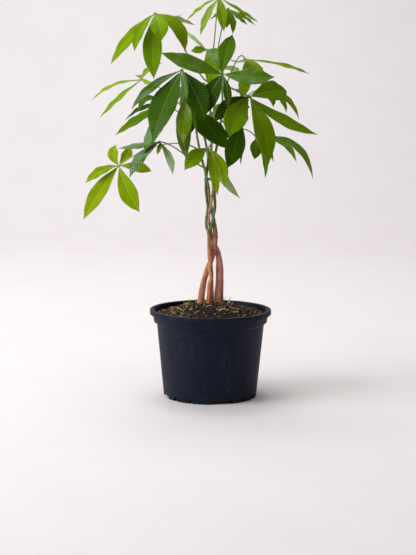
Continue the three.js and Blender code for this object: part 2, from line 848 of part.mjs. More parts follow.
/** The smallest bend at which the solid that swollen makes is clear of the obstacles. */
function clearBend(swollen, owner, label, obstacles) {
  let blocked;
  for (const lift of BEND_LIFTS) {
    for (const depth of BEND_DEPTHS) {
      const bend = new THREE.Vector3(0, depth, lift);
      const obstacle = blocker(solidOf(swollen(bend)), owner, obstacles);
      if (!obstacle) return bend;
      blocked ??= obstacle.owner;
    }
  }
  throw new Error(`${label} finds no bend clear of ${blocked}`);
}

/** Every leaf's solid by name: first the stalks find their places, then the leaflets. */
function grownLeaves() {
  const obstacles = [];
  const settle = (owner, solid) => {
    obstacles.push({ owner, solid, box: solid.boundingBox() });
    return solid;
  };
  for (const side of Object.keys(STEMS)) settle(`stem ${side}`, solidOf(stemGeometry(side)));
  const stalks = LEAVES.map((leaf) => {
    const swollen = (bend) => petioleGeometry(leaf, bend, GAP / 2);
    const bend = clearBend(swollen, leaf.name, `stalk of ${leaf.name}`, obstacles);
    return settle(leaf.name, solidOf(petioleGeometry(leaf, bend)));
  });
  return LEAVES.map((leaf, index) => {
    const hub = seen(leaf.hub);
    const knuckle = new THREE.OctahedronGeometry(HUB_RADIUS).translate(hub.x, hub.y, hub.z);
    const parts = leaf.leaflets.map((leaflet, i) => {
      const swollen = (bend) => bladeGeometry(leaf, leaflet, bend, GAP);
      const bend = clearBend(swollen, leaf.name, `leaflet ${i} of ${leaf.name}`, obstacles);
      return settle(leaf.name, solidOf(bladeGeometry(leaf, leaflet, bend)));
    });
    return parts.reduce((joined, part) => joined.add(part), stalks[index].add(solidOf(knuckle)));
  });
}

// ---- The plant ----

const plant = new THREE.Group();

function addPiece(name, geometry, color, roughness) {
  const material = new THREE.MeshStandardMaterial({ color, roughness, metalness: 0 });
  const mesh = new THREE.Mesh(geometry, material);
  mesh.name = name;
  plant.add(mesh);
}

addPiece("pot", potGeometry(), 0x24262c, 0.42);
addPiece("soil", soilGeometry(), 0x2b1f18, 0.95);
for (const side of Object.keys(STEMS)) addPiece(`stem_${side}`, stemGeometry(side), 0x8a6448, 0.8);
addPiece("tie", tieGeometry(), 0x2fa08c, 0.5);
grownLeaves().forEach((solid, i) => {
  const { name, tint } = LEAVES[i];
  addPiece(`leaf_${name}`, geometryOf(solid), TINTS[tint], 0.4);
});

export default plant;
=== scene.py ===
"""A braided money tree in a round nursery pot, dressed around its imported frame.

Lengths are metres, +Z is up, -Y is the front, and the origin is the centre of the pot's base.
"""

import logging
import math
import random
from collections.abc import Callable, Sequence
from dataclasses import dataclass, field
from enum import Enum
from functools import partialmethod

import bmesh
import bpy
from mathutils import Matrix, Vector, noise

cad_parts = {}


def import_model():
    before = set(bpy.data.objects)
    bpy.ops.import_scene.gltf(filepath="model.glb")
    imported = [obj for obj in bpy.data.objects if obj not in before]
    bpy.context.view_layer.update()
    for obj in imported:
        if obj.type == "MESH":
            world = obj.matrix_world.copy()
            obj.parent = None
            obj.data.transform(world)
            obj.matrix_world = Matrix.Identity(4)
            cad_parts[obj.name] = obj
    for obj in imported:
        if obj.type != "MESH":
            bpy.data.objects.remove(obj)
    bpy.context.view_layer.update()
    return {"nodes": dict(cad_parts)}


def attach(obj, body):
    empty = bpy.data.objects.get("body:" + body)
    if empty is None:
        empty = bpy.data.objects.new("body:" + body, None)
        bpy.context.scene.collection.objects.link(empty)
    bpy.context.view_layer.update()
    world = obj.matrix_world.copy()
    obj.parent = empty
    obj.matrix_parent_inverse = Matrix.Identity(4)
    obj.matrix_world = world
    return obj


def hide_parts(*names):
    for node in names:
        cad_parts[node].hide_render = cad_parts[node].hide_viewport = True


LOG = logging.getLogger("money_tree")
BODY = "root"
MM = 0.001
QUARTER_TURN = math.pi / 2
HALF_TURN = math.pi
FULL_TURN = 2 * math.pi
# Points nearer than these are made one: along a tube, and round a turned shape.
WELD = 1e-7
TURNED_WELD = 1e-6
ROUNDING_CUTS = 3
ROUND_PROFILE = 0.5

Triple = tuple[float, float, float]
Colour = tuple[int, int, int]
Reading = Triple
Span = tuple[float, float]
Stops = Sequence[tuple[float, Colour]]
Material = bpy.types.Material
Socket = bpy.types.NodeSocket
Verts = list[bmesh.types.BMVert]
Placing = Callable[[float, float], Vector]
Carried = dict[str, Callable[[float, float], float]]


def paint(colour: Colour) -> list[float]:
    """What a shader reads for a display colour.

    Args:
        colour: The colour's red, green and blue, from 0 to 255.

    Returns:
        Its linear red, green, blue and alpha.
    """
    shares = [level / 255 for level in colour]
    linear = [s / 12.92 if s <= 0.04045 else ((s + 0.055) / 1.055) ** 2.4 for s in shares]
    return [*linear, 1.0]


def between(low: float, high: float, share: float) -> float:
    """The number that lies a share of the way from low to high."""
    return low + (high - low) * share


def eased(low: float, high: float, value: float) -> float:
    """A smooth step of a value.

    Args:
        low: The value where the step starts, at 0.
        high: The value where it ends, at 1.
        value: The value to look up.

    Returns:
        A share from 0 to 1.
    """
    share = min(1.0, max(0.0, (value - low) / (high - low)))
    return share * share * (3 - 2 * share)


def bell(distance: float, height: float, width: float) -> float:
    """A bell curve.

    Args:
        distance: How far from its middle to read it.
        height: Its height in the middle.
        width: The distance at which it has fallen to about a third.

    Returns:
        The value there.
    """
    return height * math.exp(-((distance / width) ** 2))


def value_at(pairs: Sequence[Span], position: float) -> float:
    """Reads a list of pairs with straight lines between them.

    Args:
        pairs: Positions and their values, in rising order of position.
        position: Where to read.

    Returns:
        The value there.
    """
    for (start, low), (end, high) in zip(pairs, pairs[1:]):
        if position <= end:
            return between(low, high, (position - start) / (end - start))
    return pairs[-1][1]


# ---- The photograph's viewpoint ----


@dataclass(frozen=True)
class Viewpoint:
    """Where the reference photograph was taken from, and through what lens."""

    middle: Span = (208.0, 277.5)
    long_side: int = 555
    focal_pixels: float = 1393.0
    sensor: float = 36.0
    pitch: float = math.radians(7.98)
    roll: float = math.radians(0.35)
    eye: Triple = (-0.0036, -1.817, 0.412)
    far: float = 20.0

    def sight(self, column: float, row: float) -> Vector:
        """The direction in which a pixel looks.

        Args:
            column: The pixel's column.
            row: The pixel's row.

        Returns:
            A vector from the eye, not of unit length.
        """
        ray = Vector((column - self.middle[0], self.focal_pixels, self.middle[1] - row))
        turned = Matrix.Rotation(-self.roll, 3, "Y") @ ray
        return Matrix.Rotation(-self.pitch, 3, "X") @ turned

    def seen(self, reading: Reading) -> Vector:
        """The place of a reading.

        Args:
            reading: A pixel's column and row, and the depth along +Y in metres.

        Returns:
            The point in metres.
        """
        column, row, depth = reading
        sight = self.sight(column, row)
        return Vector(self.eye) + sight * ((depth - self.eye[1]) / sight.y)

    def camera(self) -> None:
        """Makes the scene's camera and sets it at this viewpoint."""
        data = bpy.data.cameras.new("photo_camera")
        data.sensor_fit = "VERTICAL"
        data.sensor_height = self.sensor
        data.lens = self.focal_pixels / self.long_side * self.sensor
        data.clip_end = self.far
        camera = bpy.data.objects.new("photo_camera", data)
        upright = Matrix.Rotation(QUARTER_TURN - self.pitch, 4, "X")
        level = Matrix.Rotation(self.roll, 4, "Z")
        camera.matrix_world = Matrix.Translation(self.eye) @ upright @ level
        bpy.context.scene.collection.objects.link(camera)
        bpy.context.scene.camera = camera


VIEW = Viewpoint()


# ---- Shader building ----


class Value:
    """A shader socket that Python arithmetic turns into Math nodes."""

    def __init__(self, recipe: "Recipe", socket: Socket) -> None:
        """Keeps the socket and the recipe that it belongs to."""
        self.recipe = recipe
        self.socket = socket

    def apply(self, operation: str, *others: "Value | float", swapped: bool = False) -> "Value":
        """One Math node on this value.

        Args:
            operation: The Math node's operation.
            others: Its other operands.
            swapped: Whether this value is the second operand.

        Returns:
            The node's result.
        """
        operands: list[Value | float] = [self, *others]
        if swapped:
            operands.reverse()
        inputs = dict(enumerate(operands))
        node = self.recipe.node("ShaderNodeMath", {"operation": operation}, inputs)
        return Value(self.recipe, node.outputs[0])

    __add__ = __radd__ = partialmethod(apply, "ADD")
    __mul__ = __rmul__ = partialmethod(apply, "MULTIPLY")
    __sub__ = partialmethod(apply, "SUBTRACT")
    __rsub__ = partialmethod(apply, "SUBTRACT", swapped=True)
    __truediv__ = partialmethod(apply, "DIVIDE")
    __abs__ = partialmethod(apply, "ABSOLUTE")

    def step(self, low: float, high: float) -> "Value":
        """A smooth step of this value.

        Args:
            low: The value at which the step is 0.
            high: The value at which it is 1. It may be below low.

        Returns:
            A value from 0 to 1.
        """
        settings = {"interpolation_type": "SMOOTHSTEP"}
        inputs = {"Value": self, "From Min": low, "From Max": high}
        node = self.recipe.node("ShaderNodeMapRange", settings, inputs)
        return Value(self.recipe, node.outputs["Result"])


class Recipe:
    """A material under construction, with one Principled shader."""

    def __init__(self, name: str) -> None:
        """Makes an empty material.

        Args:
            name: The material's name.
        """
        self.material = bpy.data.materials.new(name)
        self.material.use_nodes = True
        self.tree = self.material.node_tree
        self.tree.nodes.clear()
        self.output = self.tree.nodes.new("ShaderNodeOutputMaterial")
        coordinates = self.tree.nodes.new("ShaderNodeTexCoord")
        self.place = coordinates.outputs["Object"]

    def node(self, kind: str, settings: dict, inputs: dict) -> bpy.types.Node:
        """Adds any node.

        Args:
            kind: The node's type.
            settings: Its settings, which are set first. "stops" are a ramp's positions and colours.
            inputs: Values or links by socket name, identifier or number.

        Returns:
            The node.
        """
        node = self.tree.nodes.new(kind)
        for name, setting in settings.items():
            if name == "stops":
                self._set_stops(node.color_ramp, setting)
            else:
                setattr(node, name, setting)
        for key, given in inputs.items():
            socket = self._socket(node, key)
            source = given.socket if isinstance(given, Value) else given
            if isinstance(source, Socket):
                self.tree.links.new(source, socket)
            elif socket.type == "RGBA":
                socket.default_value = paint(source)
            else:
                socket.default_value = source
        return node

    @staticmethod
    def _socket(node: bpy.types.Node, key: str | int) -> Socket:
        """The input socket with a name, identifier or number.

        Args:
            node: The node.
            key: The socket's name, identifier or number.

        Returns:
            The socket.
        """
        if isinstance(key, int):
            return node.inputs[key]
        by_identifier = {socket.identifier: socket for socket in node.inputs}
        return by_identifier.get(key) or node.inputs[key]

    @staticmethod
    def _set_stops(ramp: bpy.types.ColorRamp, stops: Stops) -> None:
        """Gives a ramp its stops."""
        while len(ramp.elements) < len(stops):
            ramp.elements.new(1.0)
        for element, (position, colour) in zip(ramp.elements, stops):
            element.position = position
            element.color = paint(colour)

    def noise(self, scale: float, detail: float = 2.0, where: Socket | None = None) -> Value:
        """Noise from 0 to 1.

        Args:
            scale: Features per metre.
            detail: Octaves of finer noise.
            where: The coordinates, or the object's own when left out.

        Returns:
            The noise.
        """
        inputs = {"Vector": where or self.place, "Scale": scale, "Detail": detail}
        return Value(self, self.node("ShaderNodeTexNoise", {}, inputs).outputs["Fac"])

    def cells(self, scale: float, feature: str = "F1") -> Value:
        """Distance within Voronoi cells.

        Args:
            scale: Cells per metre.
            feature: The Voronoi feature.

        Returns:
            The distance.
        """
        inputs = {"Vector": self.place, "Scale": scale}
        node = self.node("ShaderNodeTexVoronoi", {"feature": feature}, inputs)
        return Value(self, node.outputs["Distance"])

    def stretched(self, factors: Triple) -> Socket:
        """The object's coordinates, scaled along each axis."""
        inputs = {"Vector": self.place, "Scale": factors}
        return self.node("ShaderNodeMapping", {}, inputs).outputs["Vector"]

    def attribute(self, name: str) -> Value:
        """A number that the mesh carries at each vertex."""
        node = self.node("ShaderNodeAttribute", {"attribute_name": name}, {})
        return Value(self, node.outputs["Fac"])

    def height(self) -> Value:
        """The height above the base, in metres."""
        node = self.node("ShaderNodeSeparateXYZ", {}, {"Vector": self.place})
        return Value(self, node.outputs["Z"])

    def ramp(self, value: Value, stops: Stops) -> Socket:
        """Colours along a value.

        Args:
            value: The value, from 0 to 1.
            stops: Positions and colours.

        Returns:
            The colour.
        """
        node = self.node("ShaderNodeValToRGB", {"stops": stops}, {"Fac": value})
        return node.outputs["Color"]

    def mix(
        self,
        share: Value | float,
        first: Socket | Colour,
        second: Socket | Colour,
        blend: str = "MIX",
    ) -> Socket:
        """A mix of two colours.

        Args:
            share: How much of the second.
            first: The colour at share 0.
            second: The colour at share 1.
            blend: The Mix node's way of blending.

        Returns:
            The mixed colour.
        """
        inputs = {"Factor_Float": share, "A_Color": first, "B_Color": second}
        node = self.node("ShaderNodeMix", {"data_type": "RGBA", "blend_type": blend}, inputs)
        return next(socket for socket in node.outputs if socket.identifier == "Result_Color")
    def layered(self, colour: Socket | Colour, *layers: tuple[Value, Colour]) -> Socket:
        """A colour with others laid over it in turn.

        Args:
            colour: The lowest colour.
            layers: How much of each further colour, and the colour.

        Returns:
            The mixed colour.
        """
        for share, over in layers:
            colour = self.mix(share, colour, over)
        return colour
    def bump(self, height: Value, depth: float) -> Socket:
        """A normal that is bent by a height.

        Args:
            height: The height, as a share of depth.
            depth: The depth of the relief, in metres.

        Returns:
            The normal.
        """
        inputs = {"Height": height, "Distance": depth, "Strength": 1.0}
        return self.node("ShaderNodeBump", {}, inputs).outputs["Normal"]

    def finish(self, **sockets: object) -> Material:
        """Adds the shader and closes the recipe.

        Args:
            sockets: The Principled shader's sockets, with underscores for the spaces in their names.

        Returns:
            The material.
        """
        inputs = {name.replace("_", " "): given for name, given in sockets.items()}
        shader = self.node("ShaderNodeBsdfPrincipled", {}, inputs)
        self.tree.links.new(shader.outputs["BSDF"], self.output.inputs["Surface"])
        return self.material


# ---- Mesh building ----


class Workpiece:
    """One piece under construction in bmesh."""

    def __init__(self, attributes: Sequence[str] = ()) -> None:
        """Starts an empty piece.

        Args:
            attributes: The numbers that its vertices carry for their material.
        """
        self.bm = bmesh.new()
        self.layers = {name: self.bm.verts.layers.float.new(name) for name in attributes}

    def sheet(self, across: int, along: int, place: Placing, carry: Carried | None = None) -> Verts:
        """A grid of faces laid over a surface.

        Args:
            across: Faces across.
            along: Faces along.
            place: The surface's point for each share across and along, both from 0 to 1.
            carry: What each attribute is at those shares.

        Returns:
            The grid's vertices.
        """
        made = bmesh.ops.create_grid(self.bm, x_segments=across, y_segments=along, size=0.5)
        verts = made["verts"]
        for vert in verts:
            share, run = vert.co.x + 0.5, vert.co.y + 0.5
            for name, read in (carry or {}).items():
                vert[self.layers[name]] = read(share, run)
            vert.co = place(share, run)
        return verts

    def tube(
        self,
        route: "Route",
        sides: int,
        stations: int,
        relief: Callable[[float, float, Vector], float] | None = None,
        carry: Carried | None = None,
    ) -> Verts:
        """A closed tube along a route.

        Args:
            route: The centreline and its radius.
            sides: Faces round the tube.
            stations: Faces along the tube.
            relief: A factor on the radius for each share round, share along and point.
            carry: What each attribute is at each share round and along.

        Returns:
            The tube's vertices.
        """
        frames = route.frames(stations)

        def place(share: float, run: float) -> Vector:
            """The point at a share round and along.

            Args:
                share: The share round.
                run: The share along.

            Returns:
                The point.
            """
            point, side, up, radius = frames[round(run * stations)]
            angle = FULL_TURN * share
            ray = side * math.cos(angle) + up * math.sin(angle)
            factor = relief(share, run, point + ray * radius) if relief else 1.0
            return point + ray * (radius * factor)

        verts = self.sheet(sides, stations, place, carry)
        bmesh.ops.remove_doubles(self.bm, verts=verts, dist=WELD)
        kept = [vert for vert in verts if vert.is_valid]
        edges = {edge for vert in kept for edge in vert.link_edges if edge.is_boundary}
        capped = bmesh.ops.holes_fill(self.bm, edges=list(edges), sides=sides)
        bmesh.ops.triangulate(self.bm, faces=capped["faces"])
        self.face_outwards(kept)
        return kept

    def turned(self, section: Sequence[Span], steps: int, rounding: float = 0.0) -> None:
        """A closed shape turned about the Z axis.

        Args:
            section: Its radii and heights, from the axis round to the axis.
            steps: Faces round it.
            rounding: How far in from each corner of the section its rounding starts.
        """
        bm = self.bm
        verts = [bm.verts.new((radius, 0.0, height)) for radius, height in section]
        for pair in zip(verts, verts[1:]):
            bm.edges.new(pair)
        if rounding:
            bmesh.ops.bevel(
                bm,
                geom=verts[1:-1],
                offset=rounding,
                offset_type="OFFSET",
                segments=ROUNDING_CUTS,
                profile=ROUND_PROFILE,
                affect="VERTICES",
                material=-1,
            )
        outline = [*bm.verts, *bm.edges]
        axis = {"cent": (0, 0, 0), "axis": (0, 0, 1)}
        bmesh.ops.spin(bm, geom=outline, **axis, angle=FULL_TURN, steps=steps, use_merge=True)
        bmesh.ops.remove_doubles(bm, verts=bm.verts, dist=TURNED_WELD)
        self.face_outwards()

    def ball(self, matrix: Matrix, detail: int = 1) -> Verts:
        """An icosphere of radius 1, placed by a matrix."""
        made = bmesh.ops.create_icosphere(self.bm, subdivisions=detail, radius=1.0, matrix=matrix)
        return made["verts"]

    def mark(self, verts: Verts, name: str, value: float) -> None:
        """Gives one attribute the same value at some vertices."""
        for vert in verts:
            vert[self.layers[name]] = value

    def face_outwards(self, verts: Verts | None = None) -> None:
        """Turns outwards the faces of some vertices, or every face."""
        faces = list({face for vert in verts for face in vert.link_faces}) if verts else self.bm.faces
        bmesh.ops.recalc_face_normals(self.bm, faces=faces)

    def as_object(
        self, name: str, materials: Sequence[Material] = (), smooth: bool = True
    ) -> bpy.types.Object:
        """Turns the piece into an object of the scene.

        Args:
            name: The object's name.
            materials: Its materials.
            smooth: Whether its faces are shaded smooth.

        Returns:
            The object.
        """
        mesh = bpy.data.meshes.new(name)
        self.bm.to_mesh(mesh)
        self.bm.free()
        mesh.polygons.foreach_set("use_smooth", [smooth] * len(mesh.polygons))
        for material in materials:
            mesh.materials.append(material)
        made = bpy.data.objects.new(name, mesh)
        bpy.context.scene.collection.objects.link(made)
        return made

    def finished(
        self,
        name: str,
        materials: Sequence[Material],
        slot: str,
        nodes: Sequence[str] = (),
        smooth: bool = True,
    ) -> bpy.types.Object:
        """Turns the piece into an object that rides on the frame.

        Args:
            name: The piece's name.
            materials: Its materials.
            slot: The record's slot that its finish belongs to. It is not used.
            nodes: The CAD nodes that it stands for.
            smooth: Whether its faces are shaded smooth.

        Returns:
            The object.
        """
        piece = self.as_object(name, materials, smooth)
        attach(piece, BODY)
        if nodes:
            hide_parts(*nodes)
        LOG.info("%s: %d faces", name, len(piece.data.polygons))
        return piece


@dataclass(frozen=True)
class Route:
    """A smooth centreline with a radius, read at shares from 0 to 1."""

    point: Callable[[float], Vector]
    radius: Callable[[float], float]

    def along(self, run: float) -> Vector:
        """The direction of the centreline at a share.

        Args:
            run: The share, from 0 to 1.

        Returns:
            The direction, of length 1.
        """
        nudge = 0.004
        ahead = self.point(min(1.0, run + nudge))
        return (ahead - self.point(max(0.0, run - nudge))).normalized()

    def frames(self, stations: int) -> list[tuple[Vector, Vector, Vector, float]]:
        """Rings that don't twist along the centreline.

        Args:
            stations: Steps along it.

        Returns:
            Each ring's centre, its two directions and its radius.
        """
        rings = []
        side = self.along(0.0).orthogonal().normalized()
        for i in range(stations + 1):
            run = i / stations
            along = self.along(run)
            side = (side - along * side.dot(along)).normalized()
            rings.append((self.point(run), side, along.cross(side), self.radius(run)))
        return rings


def bezier(points: Sequence[Vector], run: float) -> Vector:
    """A point of the Bezier curve over some control points, at a share from 0 to 1."""
    while len(points) > 1:
        points = [first.lerp(second, run) for first, second in zip(points, points[1:])]
    return points[0]


def smooth_chain(points: Sequence[Vector], run: float) -> Vector:
    """A point of the smooth curve through a chain of points.

    Args:
        points: The chain.
        run: A share from 0 to 1, even in points.

    Returns:
        The point.
    """
    at = run * (len(points) - 1)
    i = min(int(at), len(points) - 2)
    before, start, end = points[max(i - 1, 0)], points[i], points[i + 1]
    after = points[min(i + 2, len(points) - 1)]
    t = at - i
    bend = (end - before) * t + (before * 2 - start * 5 + end * 4 - after) * t**2
    return start + (bend + (start * 3 - before - end * 3 + after) * t**3) * 0.5
def heading(angle: float) -> Vector:
    """The level direction at an angle from +X."""
    return Vector((math.cos(angle), math.sin(angle), 0))


def crosswise(out: Vector) -> Vector:
    """A level vector after a quarter turn."""
    return Vector((-out.y, out.x, 0))


def upward(rise: float) -> Vector:
    """A vector straight up."""
    return Vector((0, 0, rise))


def resting(place: Vector, rise: float) -> Matrix:
    """The move to a little above a place."""
    return Matrix.Translation(place + upward(rise))


def roughen(verts: Verts, size: float, scale: float, share: float) -> None:
    """Moves a grain's vertices by smooth noise.

    Args:
        verts: The vertices.
        size: The grain's size.
        scale: The noise's features per metre.
        share: How far it moves them at most, as a share of the size.
    """
    for vert in verts:
        vert.co += noise.noise_vector(vert.co * scale) * size * share


# ---- Pot ----


@dataclass
class NurseryPot:
    """The moulded pot, with its rolled lip, stepped collar and drainage notches."""

    height: float = 0.1155
    base_radius: float = 0.0614
    shoulder: Span = (0.0708, 0.097)
    collar_low: Span = (0.0748, 0.0996)
    collar_radius: float = 0.076
    lip_radius: float = 0.080
    lip_thickness: float = 0.0062
    wall: float = 0.0016
    floor: float = 0.0018
    rounding: float = 0.0007
    steps: int = 160
    notch_height: float = 0.0055
    notch_depth: float = 0.007
    wide_notches: tuple[float, ...] = (-75.5, 14.5, 104.5, 194.5)
    wide_length: float = 0.029
    small_notches: tuple[float, ...] = (-137, -114, -47, -24, 43, 66, 133, 156)
    small_length: float = 0.005
    crisp_angle: float = math.radians(32)

    def profile(self) -> list[Span]:
        """The section as radius and height, from the base's middle round to the inner floor."""
        lip_bottom = self.height - self.lip_thickness
        mouth = self.collar_radius - self.wall
        return [
            (0.0, 0.0),
            (self.base_radius, 0.0),
            self.shoulder,
            self.collar_low,
            (self.collar_radius, lip_bottom),
            (self.lip_radius, lip_bottom),
            (self.lip_radius, self.height),
            (mouth, self.height),
            (self.collar_low[0] - self.wall, self.collar_low[1] + self.wall),
            (self.shoulder[0] - self.wall, self.shoulder[1]),
            (self.base_radius - self.wall, self.floor),
            (0.0, self.floor),
        ]

    def build(self) -> None:
        """Builds the pot's piece."""
        work = Workpiece()
        work.turned(self.profile(), self.steps, self.rounding)
        piece = work.finished("pot_shell", [self.plastic()], "pot_plastic", ["pot"])
        self.cut_notches(piece)

    def cut_notches(self, piece: bpy.types.Object) -> None:
        """Cuts the drainage notches out of the base's corner.

        Args:
            piece: The pot's piece, which is given the cut mesh.
        """
        cutter = Workpiece()
        out = Matrix.Translation((self.base_radius, 0, 0))
        for length, angles in (
            (self.wide_length, self.wide_notches),
            (self.small_length, self.small_notches),
        ):
            size = Matrix.Diagonal((2 * self.notch_depth, length, 2 * self.notch_height, 1))
            for angle in angles:
                turn = Matrix.Rotation(math.radians(angle), 4, "Z")
                bmesh.ops.create_cube(cutter.bm, size=1.0, matrix=turn @ out @ size)
        tool = cutter.as_object("notch_cutter", smooth=False)
        cut = piece.modifiers.new("notches", "BOOLEAN")
        cut.operation = "DIFFERENCE"
        cut.solver = "EXACT"
        cut.object = tool
        graph = bpy.context.evaluated_depsgraph_get()
        applied = bpy.data.meshes.new_from_object(piece.evaluated_get(graph))
        piece.modifiers.clear()
        piece.data = applied
        bpy.data.objects.remove(tool)
        self.keep_edges_crisp(applied)

    def keep_edges_crisp(self, mesh: bpy.types.Mesh) -> None:
        """Marks the notches' corners sharp, so that smooth shading stops there.

        Args:
            mesh: The pot's mesh.
        """
        bm = bmesh.new()
        bm.from_mesh(mesh)
        for edge in bm.edges:
            edge.smooth = edge.calc_face_angle(0.0) < self.crisp_angle
        bm.to_mesh(mesh)
        bm.free()

    @staticmethod
    def plastic() -> Material:
        """Satin charcoal plastic, with a faint moulded grain, scuffs, dust and soil smears."""
        recipe = Recipe("pot_plastic")
        cloud = recipe.noise(28.0, 3.0)
        grain = recipe.noise(2600.0, 2.0)
        rubbed = recipe.noise(90.0, 6.0, recipe.stretched((1.0, 1.0, 0.12))).step(0.52, 0.72)
        specks = recipe.cells(230.0).step(0.085, 0.045) * recipe.noise(38.0, 1.0).step(0.56, 0.64)
        low_dust = recipe.height().step(0.045, 0.0) * recipe.noise(160.0, 5.0).step(0.42, 0.75)
        rim_soil = recipe.height().step(0.104, 0.1165) * recipe.noise(420.0, 5.0).step(0.6, 0.72)
        colour = recipe.layered(
            recipe.mix(cloud, (13, 13, 22), (21, 22, 35)),
            (rubbed * 0.25, (52, 55, 68)),
            (low_dust * 0.2, (70, 70, 76)),
            (rim_soil * 0.4, (44, 34, 28)),
            (specks * 0.8, (196, 198, 205)),
        )
        return recipe.finish(
            Base_Color=colour,
            Roughness=0.56 + cloud * 0.08 + rubbed * 0.08 + low_dust * 0.1,
            Normal=recipe.bump(grain + rubbed * 0.4, 0.00006),
            Specular_IOR_Level=0.26,
            Specular_Tint=(186, 206, 255),
        )


# ---- Soil ----


@dataclass(frozen=True)
class GrainFinish:
    """A finish whose colour changes from grain to grain."""

    name: str
    roughness: float
    stops: tuple[tuple[float, Colour], ...]

    def material(self) -> Material:
        """Matter in the colour of each grain's tone, with a dark mottle."""
        recipe = Recipe(self.name)
        mottle = recipe.noise(1300.0, 4.0)
        colour = recipe.ramp(recipe.attribute("tone"), self.stops)
        colour = recipe.mix(mottle.step(0.35, 0.75) * 0.45, colour, (24, 17, 13))
        return recipe.finish(
            Base_Color=colour,
            Roughness=self.roughness + mottle * 0.15,
            Normal=recipe.bump(mottle, 0.0004),
        )


class Grain(Enum):
    """What lies loose on the soil: crumbs of peat, chips of bark, feed pellets and moss."""

    CRUMB = GrainFinish(
        "peat_crumbs",
        0.72,
        (
            (0.0, (9, 8, 9)), (0.55, (25, 17, 16)),
            (0.78, (92, 53, 42)), (0.93, (152, 98, 74)),
            (1.0, (192, 148, 106)),
        ),
    )
    CHIP = GrainFinish(
        "bark_chips",
        0.66,
        (
            (0.0, (58, 32, 26)), (0.45, (98, 56, 42)),
            (0.8, (132, 92, 62)), (1.0, (184, 156, 116)),
        ),
    )
    PELLET = GrainFinish(
        "feed_pellets",
        0.42,
        (
            (0.1, (206, 116, 58)), (0.4, (196, 150, 104)),
            (0.65, (222, 200, 138)), (0.95, (118, 142, 52)),
        ),
    )
    MOSS = GrainFinish(
        "moss_strands",
        0.5,
        ((0.0, (104, 124, 24)), (0.5, (178, 182, 36)), (1.0, (232, 226, 92))),
    )


